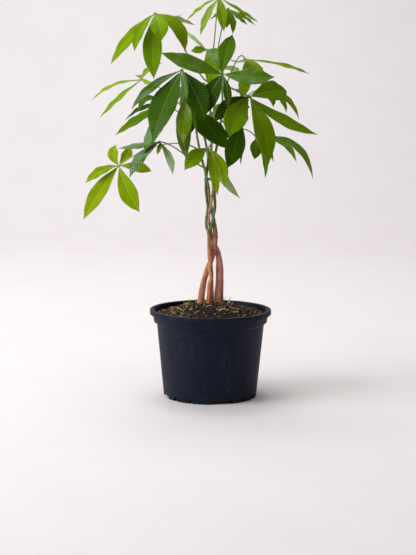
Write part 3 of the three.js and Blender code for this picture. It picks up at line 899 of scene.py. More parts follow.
@dataclass
class PottingMix:
    """The heaped soil, its loose crumbs and bark, and what grows and lies on it.

    A lump layer is a noise's scale and shift, and a height in millimetres. A grain's lumps are a
    noise's scale, and its depth as a share of the grain. From each darker span's first X to its
    second, the crumbs turn darker.
    """

    pot: NurseryPot
    heap: tuple[Span, ...] = (
        (0.0, 0.124), (0.014, 0.123), (0.028, 0.120), (0.042, 0.116),
        (0.056, 0.1115), (0.066, 0.1085), (0.0735, 0.107),
    )
    lumps: tuple[tuple[float, Triple, float], ...] = (
        (70.0, (0, 0, 0), 1.3), (190.0, (5, 2, 1), 0.9), (620.0, (1, 7, 3), 0.55),
    )
    clearance: float = 0.0006
    margin: float = 0.0025
    sight_step: float = 0.0005
    rings: int = 64
    steps: int = 200
    crumb_count: int = 2300
    crumb_size: Span = (0.0005, 0.0019)
    crumb_skew: float = 2.2
    crumb_stretch: Span = (0.7, 1.35)
    crumb_rise: float = 0.25
    crumb_lumps: Span = (900.0, 0.35)
    darker_left: Span = (-0.035, -0.01)
    darker_right: Span = (0.045, 0.02)
    darkening: Span = (0.9, 2.8)
    chip_count: int = 380
    chip_length: Span = (0.0016, 0.0052)
    chip_skew: float = 1.6
    chip_slimness: Span = (0.18, 0.4)
    chip_thickness: float = 0.0005
    chip_rise: float = 0.0007
    chip_tilt: float = 0.5
    chip_lumps: Span = (700.0, 0.1)
    pellet_draws: int = 26
    pellet_front: float = -0.01
    pellet_size: Span = (0.0011, 0.0017)
    pellet_squash: float = 0.92
    pellet_rise: float = 0.7
    strand_count: int = 54
    strand_length: Span = (0.004, 0.011)
    strand_bow: float = 0.5
    strand_rise: Span = (0.0008, 0.0045)
    strand_radius: Span = (0.0004, 0.00085)
    strand_taper: float = 0.6
    strand_root: float = 0.001
    seed: int = 11

    def lump(self, x: float, y: float) -> float:
        """The height of the soil's own lumps at a place."""
        at = Vector((x, y, 0.0))
        return MM * sum(noise.noise(at * scale + Vector(by)) * high for scale, by, high in self.lumps)

    def surface(self, x: float, y: float) -> float:
        """The height of the soil at a place."""
        return value_at(self.heap, math.hypot(x, y)) + self.lump(x, y)

    @property
    def reach(self) -> float:
        """How far from the middle anything loose lies."""
        return self.heap[-1][0] - self.margin

    def kept_in(self, point: Vector) -> Vector:
        """The point itself, or the one at the soil's edge if it lies past the edge."""
        inward = min(1.0, self.reach / max(math.hypot(point.x, point.y), self.reach / 2))
        return Vector((point.x * inward, point.y * inward, point.z))

    def beneath(self, column: float, row: float) -> Vector:
        """The place on the soil that a pixel of the photograph shows.

        Where its line of sight just clears the soil, the place is the one that it passes closest to.

        Args:
            column: The pixel's column.
            row: The pixel's row.

        Returns:
            The point on the soil.
        """
        depth = -self.reach
        nearest = Vector((0.0, 0.0, 0.0))
        least = math.inf
        while depth < self.reach and least > 0.0:
            point = VIEW.seen((column, row, depth))
            above = point.z - self.surface(point.x, point.y)
            if above < least and math.hypot(point.x, point.y) < self.reach:
                nearest, least = point, above
            depth += self.sight_step
        nearest.z = self.surface(nearest.x, nearest.y)
        return nearest

    def build(self) -> None:
        """Builds every piece of the soil."""
        self.ground()
        self.crumbs()
        self.bark()
        self.pellets()
        self.strands()

    def ground(self) -> None:
        """The heap itself, filled down to the pot's floor."""
        work = Workpiece()
        inset = self.pot.wall + self.clearance
        edge = self.heap[-1][0] - self.clearance
        wall = [
            (0.0, self.pot.floor + self.clearance),
            (self.pot.base_radius - inset, self.pot.floor + self.clearance),
            (self.pot.shoulder[0] - inset, self.pot.shoulder[1] + self.clearance),
            (edge, self.pot.collar_low[1] + 2 * self.pot.wall),
        ]
        rings = [(edge * (1 - i / self.rings), 0.0) for i in range(self.rings + 1)]
        work.turned(wall + rings, self.steps)
        for vert in work.bm.verts:
            if vert.co.z == 0.0:
                vert.co.z = self.surface(vert.co.x, vert.co.y)
        work.face_outwards()
        work.finished("soil_heap", [self.earth()], "potting_mix", ["soil"])

    @staticmethod
    def finish_grains(work: Workpiece, name: str, grain: Grain, smooth: bool = False) -> None:
        """Finishes a workpiece of loose grains."""
        work.finished(name, [grain.value.material()], "potting_mix", smooth=smooth)

    def scattered(self, rng: random.Random, count: int) -> list[Vector]:
        """Places on the soil, evenly spread and clear of the pot's wall.

        Args:
            rng: The source of chances.
            count: How many places.

        Returns:
            The places.
        """
        places = []
        while len(places) < count:
            radius = self.reach * math.sqrt(rng.random())
            angle = FULL_TURN * rng.random()
            x, y = radius * math.cos(angle), radius * math.sin(angle)
            places.append(Vector((x, y, self.surface(x, y))))
        return places

    def crumbs(self) -> None:
        """Loose crumbs of peat and compost, darker in the middle."""
        rng = random.Random(self.seed)
        work = Workpiece(["tone"])
        each = len(work.ball(Matrix()))
        while len(work.bm.verts) < each * self.crumb_count:
            bmesh.ops.duplicate(work.bm, geom=[*work.bm.verts, *work.bm.edges, *work.bm.faces])
        verts = list(work.bm.verts)
        for i, place in enumerate(self.scattered(rng, len(verts) // each)):
            size = between(*self.crumb_size, rng.random() ** self.crumb_skew)
            spread = [size * rng.uniform(*self.crumb_stretch) for _ in range(3)]
            angle = FULL_TURN * rng.random()
            turn = Matrix.Rotation(angle, 4, Vector((rng.random(), 1, rng.random())))
            sit = resting(place, size * self.crumb_rise)
            matrix = sit @ turn @ Matrix.Diagonal((*spread, 1))
            crumb = verts[i * each : (i + 1) * each]
            for vert in crumb:
                vert.co = matrix @ vert.co
            roughen(crumb, size, *self.crumb_lumps)
            # The crumbs are darker in a band across the middle of the soil.
            middle = eased(*self.darker_left, place.x) * eased(*self.darker_right, place.x)
            work.mark(crumb, "tone", rng.random() ** between(*self.darkening, middle))
        self.finish_grains(work, "soil_crumbs", Grain.CRUMB)

    def bark(self) -> None:
        """Chips of reddish bark and pale wood, lying flat."""
        rng = random.Random(self.seed + 1)
        work = Workpiece(["tone"])
        for place in self.scattered(rng, self.chip_count):
            length = between(*self.chip_length, rng.random() ** self.chip_skew)
            spread = (length / 2, length * rng.uniform(*self.chip_slimness), self.chip_thickness)
            tilt = Matrix.Rotation(rng.uniform(-self.chip_tilt, self.chip_tilt), 4, "X")
            turn = Matrix.Rotation(FULL_TURN * rng.random(), 4, "Z")
            matrix = resting(place, self.chip_rise) @ turn @ tilt @ Matrix.Diagonal((*spread, 1))
            chip = bmesh.ops.create_cube(work.bm, size=2.0, matrix=matrix)["verts"]
            roughen(chip, length, *self.chip_lumps)
            work.mark(chip, "tone", rng.random())
        self.finish_grains(work, "soil_bark_chips", Grain.CHIP)

    def pellets(self) -> None:
        """The slow feed pellets where the photograph shows them, and some more on the far side."""
        rng = random.Random(self.seed + 2)
        work = Workpiece(["tone"])
        orange, tan, pale, green = tones = (0.1, 0.4, 0.65, 0.95)
        shown = (
            (217.5, 310.5, orange), (224.6, 309.6, tan), (224.6, 314.6, tan),
            (227.3, 311.2, pale), (237.1, 313.2, pale), (249.6, 311.2, tan),
            (256.1, 309.4, tan), (260.4, 311.9, orange), (250.0, 307.0, green),
            (178.0, 309.0, orange), (171.5, 306.5, tan), (199.0, 312.0, orange),
            (232.0, 305.5, orange), (241.5, 305.0, pale),
        )
        spots = [(self.beneath(column, row), tone) for column, row, tone in shown]
        for place in self.scattered(rng, self.pellet_draws):
            if place.y > self.pellet_front:
                spots.append((place, rng.choice(tones)))
        for place, tone in spots:
            size = rng.uniform(*self.pellet_size)
            shape = Matrix.Diagonal((size, size, size * self.pellet_squash, 1))
            verts = work.ball(resting(place, size * self.pellet_rise) @ shape, 2)
            work.mark(verts, "tone", tone)
        self.finish_grains(work, "soil_pellets", Grain.PELLET, smooth=True)

    def strands(self) -> None:
        """Curled strands of moss and thin seedlings, bright against the soil."""
        rng = random.Random(self.seed + 3)
        work = Workpiece(["tone"])
        shown = (
            ((181.6, 315.0), (183.5, 311.0), (188.5, 309.5), 0.004),
            ((184.0, 309.6), (187.0, 305.5), (190.5, 304.0), 0.005),
            ((203.0, 308.8), (205.0, 305.5), (204.8, 302.0), 0.006),
            ((209.7, 303.0), (210.5, 301.0), (211.0, 299.0), 0.005),
            ((216.0, 306.0), (220.5, 304.8), (225.0, 306.0), 0.003),
            ((227.0, 300.0), (231.5, 302.0), (232.7, 307.4), 0.005),
            ((236.5, 312.5), (238.5, 309.5), (240.5, 311.5), 0.003),
            ((223.0, 304.0), (225.5, 302.5), (226.5, 302.0), 0.011),
            ((227.0, 305.0), (229.0, 304.0), (231.0, 304.0), 0.010),
            ((229.0, 304.0), (229.5, 303.0), (229.5, 303.0), 0.009),
            ((188.8, 302.5), (188.6, 300.5), (189.5, 299.4), 0.006),
            ((195.9, 299.0), (195.5, 297.0), (196.5, 295.4), 0.006),
            ((192.0, 316.0), (195.4, 313.5), (198.0, 315.4), 0.004),
        )
        chains = []
        for *pixels, rise in shown:
            chain = [self.beneath(*pixel) for pixel in pixels]
            chain[1] += upward(rise * 0.8)
            chain[2] += upward(rise)
            chains.append(chain)
        for place in self.scattered(rng, self.strand_count):
            angle = FULL_TURN * rng.random()
            out = heading(angle) * rng.uniform(*self.strand_length)
            bow = crosswise(out) * rng.uniform(-self.strand_bow, self.strand_bow)
            rise = upward(between(*self.strand_rise, rng.random() ** 2))
            middle = self.kept_in(place + out * 0.5 + bow + rise)
            chains.append([place, middle, self.kept_in(place + out + rise * 0.6)])
        for chain in chains:
            chain[0].z -= self.strand_root
            radius = rng.uniform(*self.strand_radius)
            tone = rng.random()
            route = Route(
                lambda run, chain=chain: bezier(chain, run),
                lambda run, radius=radius: radius * (1.0 - self.strand_taper * run),
            )
            work.mark(work.tube(route, 5, 8), "tone", tone)
        self.finish_grains(work, "soil_moss_strands", Grain.MOSS, smooth=True)

    @staticmethod
    def earth() -> Material:
        """Dark moist peat with brown and reddish fibres."""
        recipe = Recipe("potting_mix")
        clod = recipe.noise(260.0, 6.0)
        grit = recipe.cells(900.0)
        fibre = recipe.noise(1500.0, 4.0).step(0.62, 0.72)
        stops = [(0.3, (12, 9, 9)), (0.5, (26, 19, 17)), (0.68, (62, 40, 30))]
        return recipe.finish(
            Base_Color=recipe.mix(fibre * 0.6, recipe.ramp(clod, stops), (96, 66, 46)),
            Roughness=0.7 + clod * 0.25,
            Normal=recipe.bump(clod + grit * 0.5, 0.0011),
        )


# ---- Stems ----


@dataclass(frozen=True)
class StemBark:
    """What one stem's bark looks like along its height."""

    name: str
    stops: tuple[tuple[float, Colour], ...]
    low: float = 0.12
    high: float = 0.44

    def material(self) -> Material:
        """Bark that is ridged and woody below, and smooth and green above."""
        recipe = Recipe(f"bark_{self.name}")
        height = recipe.height()
        span = self.high - self.low
        share = (height - self.low) / span
        wander = (recipe.noise(70.0, 3.0) - 0.5) * 0.06
        woody = height.step(0.235, 0.16)
        streaks = recipe.noise(1500.0, 4.0, recipe.stretched((1.0, 1.0, 0.16)))
        rings = recipe.noise(520.0, 3.0, recipe.stretched((0.12, 0.12, 1.0)))
        blotch = recipe.noise(190.0, 5.0, recipe.stretched((1.0, 1.0, 0.4)))
        scar = recipe.attribute("scar") * (1.0 - woody * 0.85)
        colour = recipe.ramp(share + wander, [((z - self.low) / span, tint) for z, tint in self.stops])
        colour = recipe.mix(streaks.step(0.48, 0.72) * 0.5, colour, (98, 58, 42), "MULTIPLY")
        colour = recipe.layered(
            colour,
            (streaks.step(0.46, 0.28) * woody * 0.6, (226, 180, 152)),
            (rings.step(0.56, 0.7) * woody * 0.3, (226, 186, 160)),
            (blotch.step(0.5, 0.66) * 0.5, (84, 54, 38)),
            (blotch.step(0.46, 0.32) * woody * 0.3, (232, 186, 166)),
            (scar * 0.75, (96, 66, 44)),
        )
        return recipe.finish(
            Base_Color=colour,
            Roughness=0.5 + woody * 0.2 + streaks * 0.1,
            Normal=recipe.bump(streaks * 0.6 + rings * 0.35 * woody + blotch * 0.3, 0.001),
            Subsurface_Weight=0.05,
            Subsurface_Radius=(0.0015, 0.001, 0.0005),
        )


class StemName(Enum):
    """The four stems, by where they stand at the foot."""

    LEFT = "left"
    MIDDLE = "middle"
    RIGHT = "right"
    BACK = "back"


# Each stem's stations, bottom to top, as (column, row, depth, radius), in pixels and metres.
STATIONS: dict[StemName, tuple[tuple[float, float, float, float], ...]] = {
    StemName.LEFT: (
        (200.4, 306, 0.0, 0.005), (200.6, 302, 0.0, 0.0048), (203.6, 283, 0.0018, 0.0039),
        (206.5, 272, 0.0037, 0.0036), (209.5, 264, 0.0047, 0.0034), (212.3, 257, 0.004, 0.0032),
        (214, 250, -0.0006, 0.0031), (215, 243, -0.003, 0.0032), (215.3, 234, -0.002, 0.0032),
        (214.8, 227, 0.0016, 0.0028), (213.6, 220, 0.004, 0.0023), (212.3, 213, 0.0052, 0.002),
        (210.8, 205, 0.003, 0.002), (209.3, 197, 0.0008, 0.0019), (208.8, 190, -0.0005, 0.0018),
        (207.8, 184, -0.002, 0.0018), (206.5, 178, -0.002, 0.0018), (205, 170, -0.003, 0.0018),
        (202.5, 162, -0.004, 0.0017), (200, 151, -0.003, 0.0016), (197.5, 139, 0.0, 0.0015),
        (196, 126, 0.002, 0.0014), (195.5, 112, 0.003, 0.0013),
    ),
    StemName.MIDDLE: (
        (208.5, 306, -0.006, 0.0034), (208.8, 301, -0.006, 0.0033), (209.5, 286, -0.0055, 0.003),
        (211, 278, -0.0052, 0.0029), (210.9, 272, -0.005, 0.0032), (210.2, 262.6, -0.005, 0.003),
        (209.5, 252.4, -0.004, 0.0028), (209, 243, -0.0048, 0.0023), (208.6, 232, -0.005, 0.0021),
        (206.8, 228, -0.0025, 0.002), (206.2, 222, 0.0005, 0.0019), (207.1, 215, 0.0016, 0.0019),
        (207.8, 209, 0.003, 0.0019), (207.8, 205, 0.0048, 0.0019), (207.2, 200, 0.005, 0.0019),
        (206, 190, 0.0045, 0.0018), (206, 183, 0.0035, 0.0018), (206, 178, 0.003, 0.0018),
        (207.5, 168, 0.003, 0.0017), (208, 158, 0.004, 0.0016), (206.5, 147, 0.005, 0.0015),
        (204.5, 135, 0.005, 0.0014), (203.5, 119, 0.006, 0.0013),
    ),
    StemName.RIGHT: (
        (218, 306, 0.002, 0.007), (218.5, 300, 0.002, 0.0065), (219, 292, 0.002, 0.0057),
        (219.5, 281, 0.002, 0.0053), (219.5, 266, 0.003, 0.0046), (218.5, 256, 0.005, 0.0038),
        (216.5, 248.5, 0.0065, 0.0032), (213, 243, 0.006, 0.0027), (211, 238, 0.002, 0.0022),
        (210.5, 233, -0.001, 0.002), (211.5, 226, -0.003, 0.0019), (213, 218, -0.003, 0.0019),
        (214.5, 210, -0.002, 0.0019), (215, 203, -0.0005, 0.0019), (214.5, 196, 0.001, 0.0019),
        (214, 188, 0.0025, 0.0019), (213.5, 180, 0.003, 0.0018), (213.5, 171, 0.004, 0.0018),
        (214.5, 159, 0.005, 0.0017), (217, 145, 0.006, 0.0016), (219.5, 131, 0.006, 0.0015),
        (221.5, 117, 0.004, 0.0014), (222.5, 103, 0.002, 0.0013), (222, 88, 0.002, 0.0012),
    ),
    StemName.BACK: (
        (212.5, 304, 0.0085, 0.0019), (212.5, 297, 0.0085, 0.0018), (212.5, 289, 0.009, 0.0017),
        (212, 280, 0.0105, 0.0017), (210.5, 269, 0.0125, 0.0017), (210.5, 258, 0.013, 0.0017),
        (211, 250, 0.013, 0.0017), (211.5, 243, 0.012, 0.0017), (211.5, 237, 0.0085, 0.0017),
        (211, 231, 0.0045, 0.0017), (209.5, 225, 0.0015, 0.0017), (209, 218, -0.0015, 0.0017),
        (209.5, 211, -0.003, 0.0017), (211, 204, -0.0035, 0.0017), (212, 197, -0.0035, 0.0017),
        (213, 190, -0.0025, 0.0017), (213, 184, -0.002, 0.0017), (212, 178, -0.0015, 0.0017),
        (211.5, 169, -0.0015, 0.0017), (211, 157, -0.001, 0.0016), (211.5, 141, 0.0, 0.0016),
        (211, 124, -0.002, 0.0015), (210, 107, -0.001, 0.0014), (209.5, 91, 0.0, 0.0013),
        (209.5, 75, 0.0, 0.0012), (209.5, 60, 0.0, 0.0011),
    ),
}

# Each bark's colours by height.
BARKS: dict[StemName, tuple[tuple[float, Colour], ...]] = {
    StemName.LEFT: (
        (0.120, (200, 122, 84)), (0.165, (206, 134, 98)),
        (0.225, (174, 112, 82)), (0.252, (140, 132, 62)),
        (0.285, (112, 140, 54)), (0.330, (148, 164, 62)),
        (0.380, (120, 152, 58)),
    ),
    StemName.MIDDLE: (
        (0.120, (214, 136, 74)), (0.175, (212, 136, 88)),
        (0.218, (184, 124, 80)), (0.236, (96, 124, 50)),
        (0.262, (104, 92, 54)), (0.300, (88, 76, 54)),
        (0.366, (104, 132, 54)),
    ),
    StemName.RIGHT: (
        (0.120, (200, 130, 106)), (0.175, (212, 144, 120)),
        (0.205, (216, 156, 130)), (0.217, (96, 146, 48)),
        (0.250, (92, 134, 48)), (0.275, (142, 104, 72)),
        (0.404, (116, 140, 58)),
    ),
    StemName.BACK: (
        (0.120, (198, 146, 108)), (0.190, (210, 162, 138)),
        (0.240, (204, 160, 132)), (0.275, (178, 140, 104)),
        (0.320, (128, 138, 66)), (0.380, (132, 156, 66)),
        (0.440, (140, 166, 66)),
    ),
}


@dataclass
class Stem:
    """One stem of the braid."""

    name: StemName
    foot: float = 0.104
    sides: int = 22
    stations: int = 240
    lowest_node: float = 0.150
    node_spacing: float = 0.019
    tip_clearance: float = 0.006
    scar_width: float = 0.0016
    swell: float = 0.16
    woody_span: Span = (0.22, 0.14)
    flare_span: Span = (0.136, 0.118)
    flare: float = 0.05
    ridges: int = 5
    ridge_depth: float = 0.035
    ridge_phase: float = 1.7
    ridge_turn: float = 60.0
    lump_scale: float = 140.0
    lump_depth: Span = (0.05, 0.09)
    scar_turn: float = 900.0
    scar_evenness: float = 0.35
    bud: Triple = (0.0018, 0.0018, 0.0042)
    chain: list[Vector] = field(default_factory=list)
    radii: list[float] = field(default_factory=list)

    def __post_init__(self) -> None:
        """Works out the centreline from the readings."""
        for column, row, depth, radius in STATIONS[self.name]:
            self.chain.append(VIEW.seen((column, row, depth)))
            self.radii.append(radius)
        start = self.chain[0].copy()
        start.z = self.foot
        self.chain.insert(0, start)
        self.radii.insert(0, self.radii[0])

    def radius(self, run: float) -> float:
        """The radius without any swelling, at a share of the centreline."""
        count = len(self.radii) - 1
        return value_at([(i / count, radius) for i, radius in enumerate(self.radii)], run)

    def at(self, height: float) -> tuple[Vector, float]:
        """The centre and radius at a height.

        Args:
            height: The height above the base.

        Returns:
            The centre and the radius.
        """
        xs, ys, heights = zip(*self.chain)
        x, y, radius = (value_at(list(zip(heights, row)), height) for row in (xs, ys, self.radii))
        return Vector((x, y, height)), radius

    def node_heights(self) -> list[float]:
        """The heights of the leaf scars."""
        rng = random.Random(self.name.value)
        heights = []
        height = self.lowest_node
        while height < self.chain[-1].z - self.tip_clearance:
            heights.append(height)
            height += self.node_spacing * rng.uniform(0.75, 1.3)
        return heights

    def build(self) -> None:
        """Builds the stem's piece."""
        work = Workpiece(["scar"])
        nodes = self.node_heights()
        phase = len(self.name.value) * self.ridge_phase

        def scar(height: float) -> float:
            """How near a height is to a leaf scar, from 0 to 1."""
            return max(bell(height - node, 1.0, self.scar_width) for node in nodes)

        def relief(share: float, run: float, point: Vector) -> float:
            """The bark's lumps, ridges and scars.

            Args:
                share: The share round the stem.
                run: The share along it, which the bark doesn't use.
                point: The point before any relief.

            Returns:
                A factor on the radius.
            """
            woody = eased(*self.woody_span, point.z)
            flare = self.flare * eased(*self.flare_span, point.z)
            turn = FULL_TURN * share
            twisted = turn * self.ridges + phase + point.z * self.ridge_turn
            ridge = self.ridge_depth * woody * math.sin(twisted)
            lump = noise.noise(point * self.lump_scale) * between(*self.lump_depth, woody)
            swing = 0.5 + 0.5 * math.sin(turn + point.z * self.scar_turn)
            ring = self.swell * scar(point.z) * between(self.scar_evenness, 1.0, swing)
            return 1.0 + ridge + lump + flare + ring * (1 - 0.85 * woody)

        route = Route(lambda run: smooth_chain(self.chain, run), self.radius)
        carry = {"scar": lambda share, run: scar(smooth_chain(self.chain, run).z) ** 2}
        work.tube(route, self.sides, self.stations, relief, carry)
        bud = Matrix.Translation(self.chain[-1]) @ Matrix.Diagonal((*self.bud, 1))
        work.mark(work.ball(bud, 2), "scar", 0.0)
        bark = StemBark(self.name.value, BARKS[self.name])
        node = f"stem_{self.name.value}"
        work.finished(f"{node}_bark", [bark.material()], "bark", [node])


@dataclass
class Tie:
    """The teal band that holds the stems, with its twisted ends.

    Each place of an end is outwards, sideways and upwards from the knot.
    """

    stems: dict[StemName, Stem]
    row: float = 179.0
    band: float = 0.0026
    clearance: float = 0.0006
    thickness: float = 0.0007
    around: int = 72
    sides: int = 12
    fan: int = 17
    flattest: float = 0.05
    knot_share: float = 0.72
    knot_leans: Span = (-0.35, 0.45)
    end_places: tuple[Triple, ...] = (
        (-0.0003, 0.0, 0.0),
        (0.0016, 0.002, 0.0),
        (0.003, 0.007, -0.002),
    )
    end_radius: float = 0.0005

    def height(self) -> float:
        """The band's height above the base."""
        return VIEW.seen((VIEW.middle[0], self.row, 0.0)).z

    def reach(self, angle: float) -> Vector:
        """Where the taut band lies in a direction round the bundle.

        Args:
            angle: The direction, in radians from +X.

        Returns:
            The point on the band's middle.
        """
        ray = heading(angle)
        middle = self.middle()
        section = self.section()
        far = math.inf
        for turn in range(1 - self.fan, self.fan):
            normal = heading(angle + turn * HALF_TURN / (2 * self.fan))
            support = max((centre - middle).dot(normal) + radius for centre, radius in section)
            far = min(far, (support + self.clearance) / max(self.flattest, ray.dot(normal)))
        return middle + ray * far

    def section(self) -> list[tuple[Vector, float]]:
        """Each stem's centre and radius at the band."""
        return [stem.at(self.height()) for stem in self.stems.values()]

    def middle(self) -> Vector:
        """The middle of the bundle at the band."""
        centres = [centre for centre, _ in self.section()]
        return sum(centres, Vector()) / len(centres)

    def build(self) -> None:
        """Builds the tie's piece."""
        work = Workpiece()
        points = [self.reach(FULL_TURN * i / self.around) for i in range(self.around)]
        middle = self.middle()

        def place(share: float, run: float) -> Vector:
            """The band's section, carried round the bundle.

            Args:
                share: The share round the section.
                run: The share round the bundle.

            Returns:
                The point.
            """
            point = points[round(run * self.around) % self.around]
            angle = FULL_TURN * share
            across = (point - middle).normalized() * (math.cos(angle) * self.thickness / 2)
            return point + across + upward(math.sin(angle) * self.band / 2)

        verts = work.sheet(self.sides, self.around, place)
        bmesh.ops.remove_doubles(work.bm, verts=verts, dist=WELD)
        work.face_outwards()
        knot = points[round(self.around * self.knot_share)]
        out = (knot - middle).normalized()
        for lean in self.knot_leans:
            side = crosswise(out) * lean
            chain = [knot + out * x + side * y + upward(z) for x, y, z in self.end_places]
            end = Route(lambda run, chain=chain: bezier(chain, run), lambda run: self.end_radius)
            work.tube(end, 8, 10)
        work.finished("tie_band", [self.plastic()], "tie_plastic", ["tie"])

    @staticmethod
    def plastic() -> Material:
        """Glossy teal tape with fine lengthwise lines and a little grime."""
        recipe = Recipe("tie_plastic")
        lines = recipe.noise(2600.0, 2.0, recipe.stretched((0.2, 0.2, 1.0)))
        grime = recipe.noise(420.0, 4.0).step(0.5, 0.75)
        colour = recipe.mix(lines * 0.5, (30, 118, 104), (66, 158, 142))
        return recipe.finish(
            Base_Color=recipe.mix(grime * 0.4, colour, (40, 54, 44)),
            Roughness=0.3 + grime * 0.3,
            Normal=recipe.bump(lines, 0.00015),
        )


# ---- Leaf finishes ----


@dataclass(frozen=True)
class LeafFinish:
    """The colours and gloss of leaves of one age, with the colours of their painted light, shade and
    sheen.
    """

    slot: str
    # The next two colours are the painted shade and the painted light that a leaflet's brightness lays
    # on.
    dark: Colour
    lit: Colour
    # The next colour is a sheen painted on the shiny patches.
    painted_sheen: Colour
    shade: Colour
    light: Colour
    vein: Colour
    under: Colour
    # The underside's pale vein colour, which is also its painted light.
    under_vein_and_light: Colour
    stalk: Colour
    roughness: float
    glow: float
    quilt: float

    def upper(self) -> Material:
        """The upper side: quilted between pale veins, shiny in patches, with painted light, shade and
        sheen.
        """
        recipe = Recipe(f"{self.slot}_upper")
        veins = self._veins(recipe)
        patch = recipe.noise(45.0, 3.0)
        net = recipe.cells(620.0, "DISTANCE_TO_EDGE").step(0.12, 0.0)
        spots = recipe.noise(900.0, 3.0).step(0.62, 0.8)
        margin = recipe.attribute("side").step(0.93, 1.0)
        sheen = recipe.attribute("shine") * recipe.noise(70.0, 2.0).step(0.36, 0.6)
        ripple = recipe.attribute("vein").apply("FRACT")
        stripe = ripple.step(0.1, 0.4) * ripple.step(0.85, 0.5)
        colour = recipe.mix((patch + recipe.attribute("tone")) * 0.5, self.shade, self.light)
        # The first layer is light and shade painted by the leaflet's brightness.
        colour = recipe.layered(
            self._brightened(recipe, colour, self.lit, self.dark),
            (net * 0.16, self.light),
            (spots * 0.18, self.shade),
            (margin * 0.35, self.vein),
            (veins * 0.22, self.vein),
            # A sheen painted on the shiny patches, strongest in stripes between the veins.
            (sheen * (0.03 + stripe * 0.42), self.painted_sheen),
        )
        return recipe.finish(
            Base_Color=colour,
            Roughness=self.roughness + patch * 0.12 + spots * 0.08,
            Normal=recipe.bump(1.0 - veins + net * -0.12 + patch * 0.3, 0.00026),
            Subsurface_Weight=self.glow,
            Subsurface_Radius=(0.0006, 0.0012, 0.0002),
            Specular_IOR_Level=0.03,
            Coat_Weight=sheen * (0.25 + stripe * 0.6),
            Coat_Roughness=0.3,
            Coat_IOR=1.7,
        )

    def lower(self) -> Material:
        """The underside: paler and duller, with raised veins, and painted light and shade."""
        recipe = Recipe(f"{self.slot}_lower")
        veins = self._veins(recipe)
        patch = recipe.noise(60.0, 3.0)
        net = recipe.cells(560.0, "DISTANCE_TO_EDGE").step(0.14, 0.0)
        colour = recipe.mix(patch * 0.3, self.under, self.light)
        colour = recipe.mix(net * 0.2 + veins * 0.5, colour, self.under_vein_and_light)
        # The underside's painted light and shade come from the leaflet's brightness.
        return recipe.finish(
            Base_Color=self._brightened(recipe, colour, self.under_vein_and_light, self.shade),
            Roughness=0.58 + patch * 0.12,
            Normal=recipe.bump(veins + net * 0.3, 0.0003),
            Subsurface_Weight=0.6,
            Subsurface_Radius=(0.0012, 0.002, 0.0005),
            Specular_IOR_Level=0.1,
        )

    @staticmethod
    def _brightened(recipe: Recipe, colour: Socket, high: Colour, low: Colour) -> Socket:
        """A leaflet's colour, with light painted on where it looks bright and shade where it looks dim.

        Args:
            recipe: The material under construction.
            colour: The colour at brightness 0.
            high: The painted light's colour, at brightness 1.
            low: The painted shade's colour, at brightness -1.

        Returns:
            The colour.
        """
        bright = recipe.attribute("bright")
        dim = bright * -1.0
        layers = (bright.apply("MAXIMUM", 0.0), high), (dim.apply("MAXIMUM", 0.0), low)
        return recipe.layered(colour, *layers)

    @staticmethod
    def _veins(recipe: Recipe) -> Value:
        """The midrib and the side veins, from 0 on the blade to 1 on a vein.

        Args:
            recipe: The material under construction.

        Returns:
            The share.
        """
        lateral = recipe.attribute("vein")
        side = recipe.attribute("side")
        from_vein = abs(lateral - lateral.apply("ROUND"))
        fade = side.step(1.0, 0.55)
        thread = from_vein.step(0.11, 0.02) * (0.35 + fade * 0.65)
        midrib = recipe.attribute("from_midrib").step(1.0, 0.35)
        return thread.apply("MAXIMUM", midrib)

    def stalk_skin(self) -> Material:
        """The stalks: smooth, yellow green, flushed brown where they leave the stem."""
        recipe = Recipe(f"{self.slot}_stalk")
        mottle = recipe.noise(260.0, 4.0)
        flush = recipe.attribute("root").step(0.35, 1.0)
        colour = recipe.mix(mottle * 0.6, self.stalk, self.light)
        return recipe.finish(
            Base_Color=recipe.mix(flush * 0.45, colour, (112, 92, 52)),
            Roughness=0.42 + mottle * 0.15,
            Normal=recipe.bump(recipe.noise(1800.0, 2.0), 0.0001),
            Subsurface_Weight=0.1,
            Subsurface_Radius=(0.0008, 0.0012, 0.0003),
        )


class LeafAge(Enum):
    """The ages of leaf on the plant, from newest to oldest."""

    LIME = LeafFinish(
        slot="leaf_lime", roughness=0.46, glow=0.35, quilt=0.00022,
        dark=(84, 108, 2), lit=(184, 204, 30), painted_sheen=(206, 218, 120),
        shade=(116, 144, 2), light=(154, 178, 6), vein=(178, 196, 40),
        under=(150, 182, 60), under_vein_and_light=(190, 210, 116), stalk=(150, 176, 52),
    )
    FRESH = LeafFinish(
        slot="leaf_fresh", roughness=0.44, glow=0.28, quilt=0.00028,
        dark=(44, 74, 2), lit=(166, 194, 22), painted_sheen=(160, 192, 140),
        shade=(80, 120, 2), light=(140, 170, 4), vein=(160, 186, 30),
        under=(176, 202, 128), under_vein_and_light=(206, 224, 168), stalk=(128, 160, 50),
    )
    MATURE = LeafFinish(
        slot="leaf_mature", roughness=0.42, glow=0.2, quilt=0.0003,
        dark=(30, 56, 2), lit=(140, 174, 20), painted_sheen=(140, 174, 130),
        shade=(68, 108, 2), light=(114, 150, 4), vein=(140, 168, 26),
        under=(130, 162, 88), under_vein_and_light=(172, 196, 130), stalk=(112, 142, 46),
    )
    DEEP = LeafFinish(
        slot="leaf_deep", roughness=0.4, glow=0.14, quilt=0.00034,
        dark=(18, 40, 2), lit=(116, 154, 16), painted_sheen=(140, 180, 150),
        shade=(38, 72, 2), light=(72, 108, 4), vein=(112, 148, 22),
        under=(132, 160, 104), under_vein_and_light=(172, 194, 146), stalk=(104, 138, 44),
    )


# ---- Leaves ----


@dataclass(frozen=True)
class Leaflet:
    """One leaflet's readings: its tip, width, the bow of its midrib's middle, and its roll.

    bright runs from -1, in deep shade, to 1, with light coming through. shine is its gloss and painted
    sheen.
    """

    tip: Reading
    width: float
    bow: Triple
    roll: float = 0.0
    bright: float = 0.0
    shine: float = 0.0


@dataclass(frozen=True)
class Leaf:
    """One palmate leaf's readings."""

    name: str
    stem: StemName
    row: float
    hub: Reading
    face: Triple
    age: LeafAge
    leaflets: tuple[Leaflet, ...]
    arch: float = 0.0


